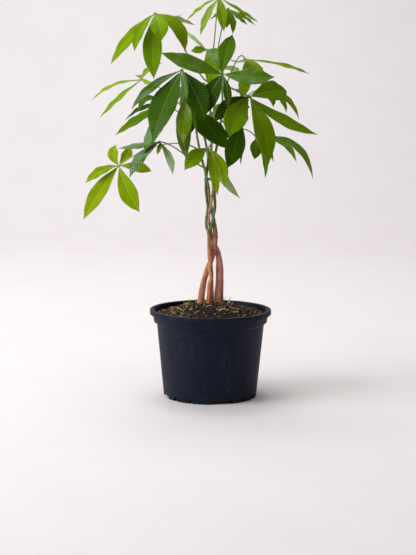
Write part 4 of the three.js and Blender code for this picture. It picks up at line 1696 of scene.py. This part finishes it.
LEAVES: tuple[Leaf, ...] = (
    Leaf("low_left", StemName.LEFT, 150, (119, 165.5, -0.008), (-0.25, -0.95, 0.2), LeafAge.LIME, (
        Leaflet((83.5, 219.5, -0.030), 0.021, (-0.0025, -0.003, 0.0016), bright=0.2),
        Leaflet((139.5, 212, -0.032), 0.024, (-0.002, -0.003, -0.0023)),
        Leaflet((85.5, 183, -0.018), 0.015, (-0.002, -0.002, 0.004), 25),
        Leaflet((116, 144.5, 0.012), 0.014, (-0.0057, -0.002, 0.0), 10),
        Leaflet((131, 147, 0.010), 0.013, (0.0015, -0.002, 0.001), 10, bright=-0.3),
        Leaflet((151.5, 171.5, -0.012), 0.014, (0.003, -0.002, 0.002), -10, bright=-0.4),
    ), arch=0.025),
    Leaf("front_left", StemName.LEFT, 128, (182, 70, -0.050), (-0.3, -0.75, 0.6), LeafAge.DEEP, (
        Leaflet((152.5, 139, -0.084), 0.037, (-0.003, -0.007, 0.001), shine=0.1),
        Leaflet((131.5, 109, -0.072), 0.013, (-0.005, -0.003, 0.0036), -5, 0.1, 0.6),
        Leaflet((205, 119, -0.078), 0.030, (0.003, -0.006, 0.0), bright=-0.6),
        Leaflet((187, 101, -0.092), 0.009, (0.0, -0.004, 0.001), shine=0.3),
    )),
    Leaf("front_mid", StemName.RIGHT, 108, (222.5, 74, -0.058), (-0.1, -0.75, 0.65), LeafAge.DEEP, (
        Leaflet((160.5, 52.5, -0.078), 0.023, (0.001, -0.004, -0.0013), -8, 0.45, 0.4),
        Leaflet((274.5, 77, -0.082), 0.023, (0.001, -0.004, -0.002), 10, 0.15, 0.3),
        Leaflet((199, 120, -0.088), 0.027, (-0.001, -0.007, 0.003), bright=-0.7),
        Leaflet((232.5, 34.5, -0.018), 0.021, (-0.0015, -0.004, 0.003), bright=0.2),
        Leaflet((207, 49.5, -0.014), 0.023, (0.003, -0.004, 0.006), bright=0.3, shine=0.4),
        Leaflet((227.5, 111, -0.086), 0.010, (0.003, -0.005, 0.001), bright=-0.5),
    )),
    Leaf("front_right", StemName.RIGHT, 122, (249.5, 96.5, -0.056), (0.3, -0.75, 0.6), LeafAge.MATURE, (
        Leaflet((268.5, 164.5, -0.088), 0.028, (0.005, -0.006, 0.001)),
        Leaflet((317.5, 134.5, -0.060), 0.016, (-0.002, -0.003, -0.005), 10),
        Leaflet((229.5, 137, -0.086), 0.029, (-0.004, -0.006, 0.001)),
        Leaflet((287, 91, -0.014), 0.030, (0.004, -0.003, 0.003), 3),
        Leaflet((228.5, 86.5, -0.070), 0.012, (0.001, -0.002, -0.001), 60),
        Leaflet((214, 122, -0.074), 0.020, (-0.003, -0.005, 0.004), bright=-0.8),
    )),
    Leaf("bud", StemName.MIDDLE, 118, (187.5, 93.5, -0.072), (-0.1, -0.9, 0.4), LeafAge.FRESH, (
        Leaflet((183, 143, -0.078), 0.020, (-0.001, -0.005, 0.0), bright=-0.1, shine=0.6),
        Leaflet((186.5, 159.5, -0.052), 0.019, (-0.004, -0.004, 0.0), bright=-0.9, shine=0.4),
        Leaflet((196, 131, -0.062), 0.007, (0.001, -0.002, 0.0), 30),
    )),
    Leaf("top_left", StemName.BACK, 82, (155, 13.5, -0.010), (-0.15, -0.6, 0.8), LeafAge.FRESH, (
        Leaflet((154, 79, -0.034), 0.025, (-0.002, -0.012, 0.0)),
        Leaflet((110.5, 64.5, -0.008), 0.016, (-0.003, -0.004, 0.0026), -15),
        Leaflet((134.5, 51.5, -0.044), 0.015, (-0.0055, -0.006, 0.003)),
        Leaflet((185, 52, -0.024), 0.018, (0.009, -0.005, 0.007)),
        Leaflet((162, 40, -0.044), 0.022, (0.0015, -0.009, 0.001)),
        Leaflet((195, 25, 0.024), 0.010, (0.001, 0.002, 0.001), -55),
        Leaflet((182, 14, 0.052), 0.004, (0.0, 0.004, -0.005), -30),
    )),
    Leaf("top", StemName.BACK, 62, (219.5, -3, 0.0), (0.05, -0.5, 0.85), LeafAge.FRESH, (
        Leaflet((186.8, 20.5, -0.010), 0.006, (-0.0018, -0.002, 0.0024), 5),
        Leaflet((200.3, 35.5, -0.022), 0.011, (-0.0029, -0.004, 0.0015), 15, 0.1, 0.4),
        Leaflet((224, 31.5, -0.034), 0.014, (0.0, -0.006, 0.001)),
        Leaflet((258.5, 22, -0.008), 0.009, (0.001, -0.002, -0.0015), -5),
        Leaflet((238, -13, 0.040), 0.014, (0.001, 0.003, 0.004)),
        Leaflet((205, -15, 0.038), 0.013, (-0.001, 0.003, 0.004)),
    )),
    Leaf("top_right", StemName.BACK, 78, (228, 9, -0.014), (0.2, -0.45, 0.85), LeafAge.MATURE, (
        Leaflet((232.7, 34, -0.028), 0.009, (0.0025, -0.005, 0.001)),
        Leaflet((226.8, 28, -0.030), 0.009, (0.0, -0.005, 0.0)),
        Leaflet((247.5, 24.7, -0.024), 0.009, (0.0, -0.003, 0.0)),
        Leaflet((255.5, 25.5, -0.010), 0.008, (0.001, -0.001, 0.0013)),
        Leaflet((210, 19.2, -0.026), 0.005, (0.0, -0.001, 0.001)),
    )),
    Leaf("mid_left", StemName.LEFT, 113, (141.5, 79.5, 0.006), (-0.15, -0.25, 0.95), LeafAge.FRESH, (
        Leaflet((91.5, 100.5, 0.0), 0.014, (-0.0045, -0.002, 0.0055)),
        Leaflet((100, 117.5, -0.030), 0.012, (-0.001, -0.004, 0.0015)),
        Leaflet((149, 84, -0.038), 0.007, (0.002, 0.0, -0.001), 10),
        Leaflet((163, 62.5, 0.042), 0.013, (-0.0029, 0.002, 0.0036)),
        Leaflet((138, 76.5, 0.034), 0.008, (-0.001, 0.0, 0.003)),
    )),
    Leaf("low_mid_left", StemName.MIDDLE, 168, (159.5, 142, -0.036), (-0.45, -0.6, 0.65), LeafAge.DEEP, (
        Leaflet((129.5, 177.5, -0.066), 0.020, (-0.0035, -0.004, 0.0035), shine=1.0),
        Leaflet((118.5, 148.5, -0.026), 0.010, (0.0, -0.002, 0.0), 180, -0.3),
        Leaflet((157, 154.5, -0.056), 0.007, (0.0015, -0.002, 0.0), bright=0.6),
        Leaflet((172.5, 174.5, -0.056), 0.010, (0.004, -0.003, 0.001), 180, 0.8),
    )),
    Leaf("low_front", StemName.MIDDLE, 158, (207.5, 148, -0.036), (0.1, -0.85, 0.5), LeafAge.FRESH, (
        Leaflet((184.5, 170.5, -0.058), 0.020, (-0.001, -0.004, 0.003)),
        Leaflet((217.5, 195.5, -0.046), 0.012, (0.0015, -0.004, 0.0), 10),
        Leaflet((224, 187.5, -0.056), 0.012, (0.008, -0.003, 0.0032), 20),
        Leaflet((240, 198.5, -0.020), 0.015, (-0.0025, 0.002, -0.002), 165, 0.8),
        Leaflet((213, 140.5, -0.056), 0.006, (0.001, -0.002, 0.0)),
    )),
    Leaf("right_high", StemName.RIGHT, 92, (245, 59, 0.006), (0.25, -0.3, 0.92), LeafAge.FRESH, (
        Leaflet((309.5, 74, -0.004), 0.011, (0.007, -0.002, 0.0018), 5),
        Leaflet((255, 85, -0.040), 0.024, (0.004, -0.004, 0.006)),
        Leaflet((241, 100.5, 0.020), 0.017, (0.0025, 0.002, 0.0), 60, 0.8),
        Leaflet((230.5, 59, 0.040), 0.012, (0.0, 0.002, -0.004)),
        Leaflet((258, 67, 0.058), 0.012, (0.0, 0.002, 0.0)),
    ), arch=0.018),
    Leaf("low_right", StemName.RIGHT, 141, (256.5, 138, 0.004), (0.4, -0.4, 0.8), LeafAge.MATURE, (
        Leaflet((313, 179, -0.018), 0.010, (0.0126, -0.002, 0.0174), 30, 0.0, 0.6),
        Leaflet((296.5, 162.5, -0.034), 0.010, (0.0068, -0.003, 0.011), 30, 0.0, 0.6),
        Leaflet((265, 178.5, -0.024), 0.007, (0.005, -0.004, 0.001), 50),
        Leaflet((254.5, 159.5, -0.034), 0.016, (0.0, -0.004, 0.001)),
        Leaflet((273.5, 162, 0.006), 0.012, (0.003, 0.002, 0.003)),
    ), arch=0.020),
    Leaf("mid_back_left", StemName.MIDDLE, 132, (167, 107, -0.004), (-0.35, -0.45, 0.8), LeafAge.DEEP, (
        Leaflet((143.5, 151.5, -0.046), 0.024, (0.001, -0.005, 0.0), bright=0.1, shine=1.0),
        Leaflet((115.5, 135, -0.014), 0.016, (-0.003, -0.003, 0.0024), -10, 0.6),
        Leaflet((138.5, 111, -0.022), 0.014, (-0.005, -0.003, 0.014), -5),
        Leaflet((125, 120.5, 0.010), 0.009, (-0.003, -0.002, 0.008), -10, -0.3),
        Leaflet((132.5, 118.5, 0.036), 0.007, (-0.001, 0.0, 0.003), -10, 0.6),
    )),
    Leaf("centre", StemName.MIDDLE, 124, (193, 107, -0.042), (0.2, -0.8, 0.55), LeafAge.DEEP, (
        Leaflet((229.5, 149, -0.062), 0.030, (-0.001, -0.006, -0.001)),
        Leaflet((209, 139, -0.038), 0.009, (-0.004, -0.002, -0.003), 40, -0.3),
        Leaflet((190, 135, -0.034), 0.022, (-0.003, -0.004, 0.0), bright=-0.6),
    )),
    Leaf("behind_right", StemName.RIGHT, 112, (264, 88, 0.014), (0.35, -0.35, 0.85), LeafAge.FRESH, (
        Leaflet((273.5, 107, -0.002), 0.015, (0.002, -0.002, 0.003)),
        Leaflet((286.5, 112.5, -0.004), 0.013, (0.0052, -0.003, 0.0047)),
        Leaflet((299, 119.5, 0.006), 0.007, (0.0065, -0.002, 0.007), 50),
        Leaflet((281, 91, 0.066), 0.016, (0.001, 0.002, 0.004)),
        Leaflet((256, 76, 0.060), 0.015, (-0.001, 0.002, 0.004)),
    )),
    Leaf("right_low_dark", StemName.RIGHT, 132, (241, 121, -0.018), (0.1, -0.8, 0.6), LeafAge.DEEP, (
        Leaflet((227, 168.5, -0.042), 0.025, (0.002, -0.006, 0.0)),
        Leaflet((240.5, 165, -0.012), 0.005, (0.001, -0.003, 0.0)),
        Leaflet((225, 139, -0.030), 0.016, (0.0, -0.004, 0.002), bright=-0.6),
    )),
    Leaf("behind_high", StemName.BACK, 92, (207, 50, -0.008), (-0.1, -0.4, 0.9), LeafAge.FRESH, (
        Leaflet((184, 30, 0.026), 0.006, (0.0, 0.002, 0.0), 100),
        Leaflet((190.8, 51.3, -0.010), 0.011, (0.0, -0.002, 0.001), -35, 0.2),
        Leaflet((209.5, 87, -0.030), 0.009, (-0.001, -0.004, 0.004)),
        Leaflet((210.5, 87, -0.044), 0.016, (0.005, -0.005, 0.002), bright=0.3),
    )),
    Leaf("back_left", StemName.BACK, 104, (190, 86, 0.052), (-0.35, 0.55, 0.75), LeafAge.MATURE, (
        Leaflet((168, 108, 0.084), 0.026, (-0.003, 0.003, 0.005)),
        Leaflet((189, 119, 0.100), 0.028, (0.0, 0.008, 0.005)),
        Leaflet((207, 105, 0.112), 0.026, (0.001, 0.006, 0.005)),
        Leaflet((204, 94, 0.112), 0.020, (0.001, 0.004, 0.004)),
        Leaflet((170, 98, 0.076), 0.018, (-0.001, 0.002, 0.002)),
    )),
    Leaf("back_right", StemName.RIGHT, 102, (238, 112, 0.050), (0.3, 0.6, 0.75), LeafAge.MATURE, (
        Leaflet((244, 126, 0.084), 0.020, (0.0, 0.006, 0.004)),
        Leaflet((228, 134, 0.088), 0.024, (-0.001, 0.008, 0.004)),
        Leaflet((214, 116, 0.096), 0.024, (-0.003, 0.006, 0.005)),
        Leaflet((226, 100, 0.100), 0.018, (0.0, 0.004, 0.004)),
        Leaflet((247, 110, 0.070), 0.018, (0.001, 0.002, 0.004)),
    )),
    Leaf("back_low", StemName.MIDDLE, 140, (199, 122, 0.040), (-0.2, 0.7, 0.65), LeafAge.MATURE, (
        Leaflet((186, 134, 0.084), 0.020, (-0.001, 0.004, 0.004)),
        Leaflet((208, 134, 0.096), 0.024, (0.001, 0.008, 0.005)),
        Leaflet((219, 118, 0.092), 0.022, (0.003, 0.006, 0.005)),
        Leaflet((184, 112, 0.092), 0.022, (-0.003, 0.005, 0.004)),
    )),
    Leaf("back_high", StemName.BACK, 84, (222, 66, 0.044), (0.15, 0.5, 0.85), LeafAge.FRESH, (
        Leaflet((238, 74, 0.090), 0.018, (0.001, 0.004, 0.002)),
        Leaflet((210, 88, 0.096), 0.020, (-0.002, 0.008, 0.004)),
        Leaflet((201, 66, 0.084), 0.018, (-0.003, 0.004, 0.002)),
        Leaflet((227, 50, 0.076), 0.016, (0.0, 0.004, 0.004)),
    )),
)

# The bends, in depth and height, that a leaf's solid may have been given, smallest first.
BENDS = tuple(
    (depth * MM, lift * MM)
    for lift in (0, 6, -6, 12, -12)
    for depth in (0, -7, 7, -14, 14, -21, 21, -28, 28, -35, 35)
)
SEEDS_A_LEAF = 10


@dataclass
class Blade:
    """One leaflet's surface, which sweeps from its hub to its tip."""

    leaf: Leaf
    leaflet: Leaflet
    bend: Vector
    seed: int
    across: int = 20
    rows_per_vein: int = 4
    fewest_veins: int = 7
    vein_spacing: float = 0.0045
    fold: float = 0.2
    fold_softness: float = 0.02
    fold_drop: float = 0.14
    curl: float = -0.07
    thickness: float = 0.00042
    sweep: float = 0.5
    base_share: float = 0.055
    wave: float = 0.0007
    waves: float = 3.2
    greatest_twist: float = 0.12
    fullest: float = 1.15
    taper: float = 1.08
    drawn_from: float = 0.86
    drawn_to: float = 0.72
    least_width: float = 0.02
    rib_end: float = 0.93
    rib_sink: float = 0.55
    rib_radii: Span = (0.00065, 0.0010)
    broad: float = 0.032

    def __post_init__(self) -> None:
        """Works out the midrib and the way that the blade faces."""
        rng = random.Random(self.seed)
        column, row, depth = self.leaflet.tip
        self.hub = VIEW.seen(self.leaf.hub)
        self.tip = VIEW.seen((column, row, depth + self.bend.y))
        self.tip.z = VIEW.seen(self.leaflet.tip).z + self.bend.z
        self.control = self.hub.lerp(self.tip, 0.5) + Vector(self.leaflet.bow) * 2
        chord = (self.tip - self.hub).normalized()
        face = Vector(self.leaf.face)
        face -= chord * face.dot(chord)
        self.face = Matrix.Rotation(math.radians(self.leaflet.roll), 3, chord) @ face
        length = (self.tip - self.hub).length
        self.veins = max(self.fewest_veins, round(length / self.vein_spacing))
        self.phases = (rng.random() * FULL_TURN, rng.random() * FULL_TURN)
        self.twist = rng.uniform(-self.greatest_twist, self.greatest_twist)
        self.tone = rng.random()

    def half_width(self, t: float) -> float:
        """The half width at a share of the midrib, drawn out to a fine tip.

        Args:
            t: The share from the hub to the tip.

        Returns:
            The half width, in metres.
        """
        body = math.sin(HALF_TURN * t**self.fullest) ** self.taper
        drawn = body * between(self.drawn_to, 1.0, eased(1.0, self.drawn_from, t))
        return self.leaflet.width / 2 * (self.least_width + (1 - self.least_width) * drawn)

    def midrib(self, t: float) -> Vector:
        """The midrib's point at a share from the hub to the tip."""
        return bezier((self.hub, self.control, self.tip), t)

    def frame(self, t: float) -> tuple[Vector, Vector]:
        """The side and upper directions at a share of the midrib.

        Args:
            t: The share from the hub to the tip.

        Returns:
            The two directions.
        """
        along = ((self.control - self.hub) * (1 - t) + (self.tip - self.control) * t).normalized()
        upper = self.face - along * self.face.dot(along)
        upper = Matrix.Rotation(self.twist * (t - 0.5), 3, along) @ upper.normalized()
        return along.cross(upper), upper

    def run(self, share: float, row: float) -> float:
        """The share of the midrib that a row of the grid reaches at a share across.

        Args:
            share: The share across.
            row: The share of the rows, from the base to the tip.

        Returns:
            The share of the midrib.
        """
        side = abs(2 * share - 1)
        start = self.base_share * (1 - row)
        return min(1.0, start + row * (1 - start) + self.sweep * side * row * (1 - row))

    def surface(self, share: float, row: float) -> Vector:
        """The upper surface's point at a share across and a row along.

        Args:
            share: The share across.
            row: The share of the rows, from the base to the tip.

        Returns:
            The point.
        """
        t = self.run(share, row)
        across = 2 * share - 1
        side = abs(across)
        half = self.half_width(t)
        sideways, upper = self.frame(t)
        quilt = self.leaf.age.value.quilt * (1 - side**4) * math.sin(HALF_TURN * min(1, row * 1.02))
        ripple = 0.5 - 0.5 * math.cos(FULL_TURN * row * self.veins)
        fullness = half / (self.leaflet.width / 2)
        phase = self.phases[0] if across < 0 else self.phases[1]
        edge = self.wave * side**3 * fullness * math.sin(FULL_TURN * row * self.waves + phase)
        fold = self.fold * half * (math.sqrt(side * side + self.fold_softness) - self.fold_drop)
        curl = self.curl * half * side**2 * eased(0.3, 1.0, t)
        lift = fold + quilt * ripple + edge + curl
        return self.midrib(t) + sideways * (across * half) + upper * lift

    def from_midrib(self, share: float, row: float) -> float:
        """How far a share across and a row along is from the midrib, in millimetres."""
        return abs(2 * share - 1) * self.half_width(self.run(share, row)) / MM

    def add_to(self, work: Workpiece) -> None:
        """Adds the blade, with its underside, to a workpiece.

        Args:
            work: The workpiece, which carries the numbers named here.
        """
        carry = {
            "vein": lambda share, row: row * self.veins,
            "side": lambda share, row: abs(2 * share - 1),
            "from_midrib": self.from_midrib,
            "tone": lambda share, row: self.tone,
            "bright": lambda share, row: self.leaflet.bright,
            "shine": lambda share, row: self.leaflet.shine,
        }
        verts = work.sheet(self.across, self.veins * self.rows_per_vein, self.surface, carry)
        faces = list({face for vert in verts for face in vert.link_faces})
        sample = faces[len(faces) // 2]
        sample.normal_update()
        if sample.normal.dot(self.face) < 0:
            bmesh.ops.reverse_faces(work.bm, faces=faces)
        work.bm.normal_update()
        shell = bmesh.ops.solidify(work.bm, geom=faces, thickness=self.thickness)
        tops = set(faces)
        for item in shell["geom"]:
            if isinstance(item, bmesh.types.BMFace) and item not in tops:
                item.material_index = 1

    def rib(self) -> Route:
        """The midrib as it stands out below the blade, from the hub to near the tip."""

        def point(run: float) -> Vector:
            """The rib's centre, just under the blade.

            Args:
                run: The share of the rib.

            Returns:
                The point.
            """
            t = run * self.rib_end
            drop = self.rib_radius(run) * self.rib_sink * eased(0.0, 0.08, run)
            return self.midrib(t) - self.frame(t)[1] * drop

        return Route(point, self.rib_radius)

    def rib_radius(self, run: float) -> float:
        """The midrib's radius at a share of its length."""
        stout = between(*self.rib_radii, min(1.0, self.leaflet.width / self.broad))
        return stout * (1 - 0.85 * run**0.8)


@dataclass
class Foliage:
    """All the leaves, each placed against the frame's own solid.

    A swell is how much a stalk's end is thickened, and over what share of its length.
    """

    stems: dict[StemName, Stem]
    nodes: dict[str, bpy.types.Object]
    root_radius: float = 0.0013
    hub_radius: float = 0.0008
    hub_size: Triple = (0.0021, 0.0021, 0.0017)
    lead: float = 0.003
    gap: float = 0.00035
    climb: float = 0.3
    levelling: float = 0.2
    reach_out: float = 0.25
    reach_in: float = 0.3
    probes: Span = (3 / 7, 4 / 7)
    seat: float = 0.06
    sunk: float = 0.6
    thinning: float = 2.3
    root_swell: Span = (0.0005, 0.06)
    hub_swell: Span = (0.0003, 0.03)
    tip_gain: float = 0.0005
    stalk_gain: float = 0.0004
    skins: dict[LeafAge, tuple[Material, Material, Material]] = field(default_factory=dict)

    def build(self) -> None:
        """Builds every leaf."""
        for age in LeafAge:
            finish = age.value
            self.skins[age] = (finish.upper(), finish.lower(), finish.stalk_skin())
        for number, leaf in enumerate(LEAVES):
            self.build_leaf(leaf, number)

    def build_leaf(self, leaf: Leaf, number: int) -> None:
        """One leaf's blades and stalk.

        Args:
            leaf: The leaf's readings.
            number: Its place in the list, which seeds its chances.
        """
        node = f"leaf_{leaf.name}"
        slot = leaf.age.value.slot
        upper, lower, skin = self.skins[leaf.age]
        solid = [vert.co.copy() for vert in self.nodes[node].data.vertices]
        blades = [
            Blade(leaf, leaflet, self.settled(leaf, leaflet, solid), number * SEEDS_A_LEAF + i)
            for i, leaflet in enumerate(leaf.leaflets)
        ]
        work = Workpiece(["vein", "side", "from_midrib", "tone", "bright", "shine"])
        for blade in blades:
            blade.add_to(work)
        work.finished(f"{node}_blades", [upper, lower], slot, [node])
        stalk = Workpiece(["root"])
        stalk.tube(self.stalk_route(leaf, solid), 10, 30, None, {"root": lambda share, run: 1 - run})
        for blade in blades:
            stalk.tube(blade.rib(), 7, 16)
        size = Matrix.Diagonal((*self.hub_size, 1))
        stalk.ball(Matrix.Translation(VIEW.seen(leaf.hub)) @ size, 2)
        stalk.finished(f"{node}_stalk", [skin], slot, [node])

    def settled(self, leaf: Leaf, leaflet: Leaflet, solid: Sequence[Vector]) -> Vector:
        """The bend that the frame's solid gives a leaflet.

        Args:
            leaf: The leaf.
            leaflet: The leaflet.
            solid: The vertices of the leaf's solid.

        Returns:
            The bend in depth and height.
        """
        best = Vector()
        nearest = math.inf
        for depth, lift in BENDS:
            bend = Vector((0, depth, lift))
            tip = Blade(leaf, leaflet, bend, 0).tip
            miss = min((vert - tip).length for vert in solid)
            if miss < nearest - self.tip_gain:
                best, nearest = bend, miss
        return best

    def stalk_route(self, leaf: Leaf, solid: Sequence[Vector]) -> Route:
        """The stalk's centreline, from the bark to the hub, where the frame's solid has it.

        Args:
            leaf: The leaf.
            solid: The vertices of the leaf's solid.

        Returns:
            The route.
        """
        height = VIEW.seen((VIEW.middle[0], leaf.row, 0.0)).z
        centre, radius = self.stems[leaf.stem].at(height)
        hub = VIEW.seen(leaf.hub)
        outward = hub - centre
        outward.z = 0.0
        reach = outward.length
        outward.normalize()
        root = centre + outward * (radius + self.gap)
        level = Vector((root.x, root.y, between(root.z, hub.z, self.climb)))
        best = [root, hub]
        nearest = math.inf
        for depth, lift in BENDS:
            rise = Vector((0, depth, lift + leaf.arch))
            leaving = root + outward * (self.lead + self.reach_out * reach) + rise
            arriving = hub - outward * (self.reach_in * reach) + rise
            chain = [root, leaving.lerp(level, self.levelling), arriving, hub]
            middles = [bezier(chain, run) for run in self.probes]
            miss = sum(min((vert - middle).length for vert in solid) for middle in middles)
            if miss < nearest - self.stalk_gain:
                best, nearest = chain, miss
        inward = centre + outward * (radius * self.sunk)

        def point(run: float) -> Vector:
            """The stalk's centre, seated a little way into the bark."""
            if run < self.seat:
                return inward.lerp(root, run / self.seat)
            return bezier(best, (run - self.seat) / (1 - self.seat))

        def thickness(run: float) -> float:
            """The stalk's radius, swollen at both ends.

            Args:
                run: The share from the bark to the hub.

            Returns:
                The radius.
            """
            swell = bell(run, *self.root_swell) + bell(1 - run, *self.hub_swell)
            thinned = min(1.0, run * self.thinning)
            return between(self.root_radius, self.hub_radius, thinned) + swell

        return Route(point, thickness)


# ---- Set and light ----


@dataclass
class Studio:
    """The pale floor and wall, and the soft light."""

    wall_depth: float = 2.6
    half_width: float = 3.4
    front: float = -3.4
    curve: float = 0.9
    height: float = 2.6
    floor_parts: int = 6
    curve_parts: int = 16

    def build(self) -> None:
        """Builds the backdrop and sets the light."""
        self.sweep()
        self.world()
        self.lamp("window", (-2.0, -0.8, 1.15), (0.0, 0.0, 0.25), 1.5, 47.0, (0.9, 0.95, 1.0))
        self.lamp("ceiling", (-0.3, -0.1, 2.2), (0.1, 0.1, 0.0), 2.4, 26.0, (1.0, 0.96, 0.95))
        self.lamp("wall", (-0.4, 1.1, 2.6), (-0.1, 2.2, 0.2), 1.6, 34.0, (1.0, 0.985, 0.98))

    def sweep(self) -> None:
        """One seamless sheet that is the floor and the wall."""
        work = Workpiece()
        section = []
        start = self.wall_depth - self.curve
        for i in range(self.floor_parts):
            section.append((between(self.front, start, i / self.floor_parts), 0.0))
        for i in range(self.curve_parts + 1):
            angle = QUARTER_TURN * i / self.curve_parts
            depth, height = math.sin(angle), 1 - math.cos(angle)
            section.append((start + self.curve * depth, self.curve * height))
        section.append((self.wall_depth, self.height))
        count = len(section) - 1

        def place(share: float, run: float) -> Vector:
            """The sheet's point at a share across and along its section."""
            depth, height = section[round(run * count)]
            return Vector((between(-self.half_width, self.half_width, share), depth, height))

        work.sheet(1, count, place)
        work.face_outwards()
        work.as_object("backdrop", [self.paper()])

    @staticmethod
    def paper() -> Material:
        """Pale matt paper with the faintest mottle."""
        recipe = Recipe("backdrop_paper")
        mottle = recipe.noise(9.0, 4.0)
        colour = recipe.mix(mottle, (228, 223, 224), (234, 230, 231))
        return recipe.finish(Base_Color=colour, Roughness=0.9)

    @staticmethod
    def world() -> None:
        """Even, slightly cool light from all round."""
        world = bpy.data.worlds.new("soft_light")
        world.use_nodes = True
        background = world.node_tree.nodes["Background"]
        background.inputs["Color"].default_value = (1.0, 0.92, 0.9, 1.0)
        background.inputs["Strength"].default_value = 0.17
        bpy.context.scene.world = world
        bpy.context.scene.view_settings.view_transform = "Standard"

    @staticmethod
    def lamp(
        name: str,
        place: Triple,
        target: Triple,
        size: float,
        power: float,
        colour: Triple,
    ) -> None:
        """A square soft lamp that looks at a target.

        Args:
            name: The lamp's name.
            place: Where it hangs.
            target: What it looks at.
            size: Its side.
            power: Its power, in watts.
            colour: Its colour.
        """
        data = bpy.data.lights.new(name, "AREA")
        data.shape = "SQUARE"
        data.size = size
        data.energy = power
        data.color = colour
        lamp = bpy.data.objects.new(name, data)
        lamp.location = place
        look = Vector(target) - Vector(place)
        lamp.rotation_euler = look.to_track_quat("-Z", "Y").to_euler()
        bpy.context.scene.collection.objects.link(lamp)


def main() -> None:
    """Builds the plant in its studio."""
    logging.basicConfig(level=logging.INFO, format="%(asctime)s %(message)s")
    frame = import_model()
    VIEW.camera()
    pot = NurseryPot()
    pot.build()
    PottingMix(pot).build()
    stems = {name: Stem(name) for name in StemName}
    for stem in stems.values():
        stem.build()
    Tie(stems).build()
    Foliage(stems, frame["nodes"]).build()
    Studio().build()


if __name__ == "__main__":
    main()
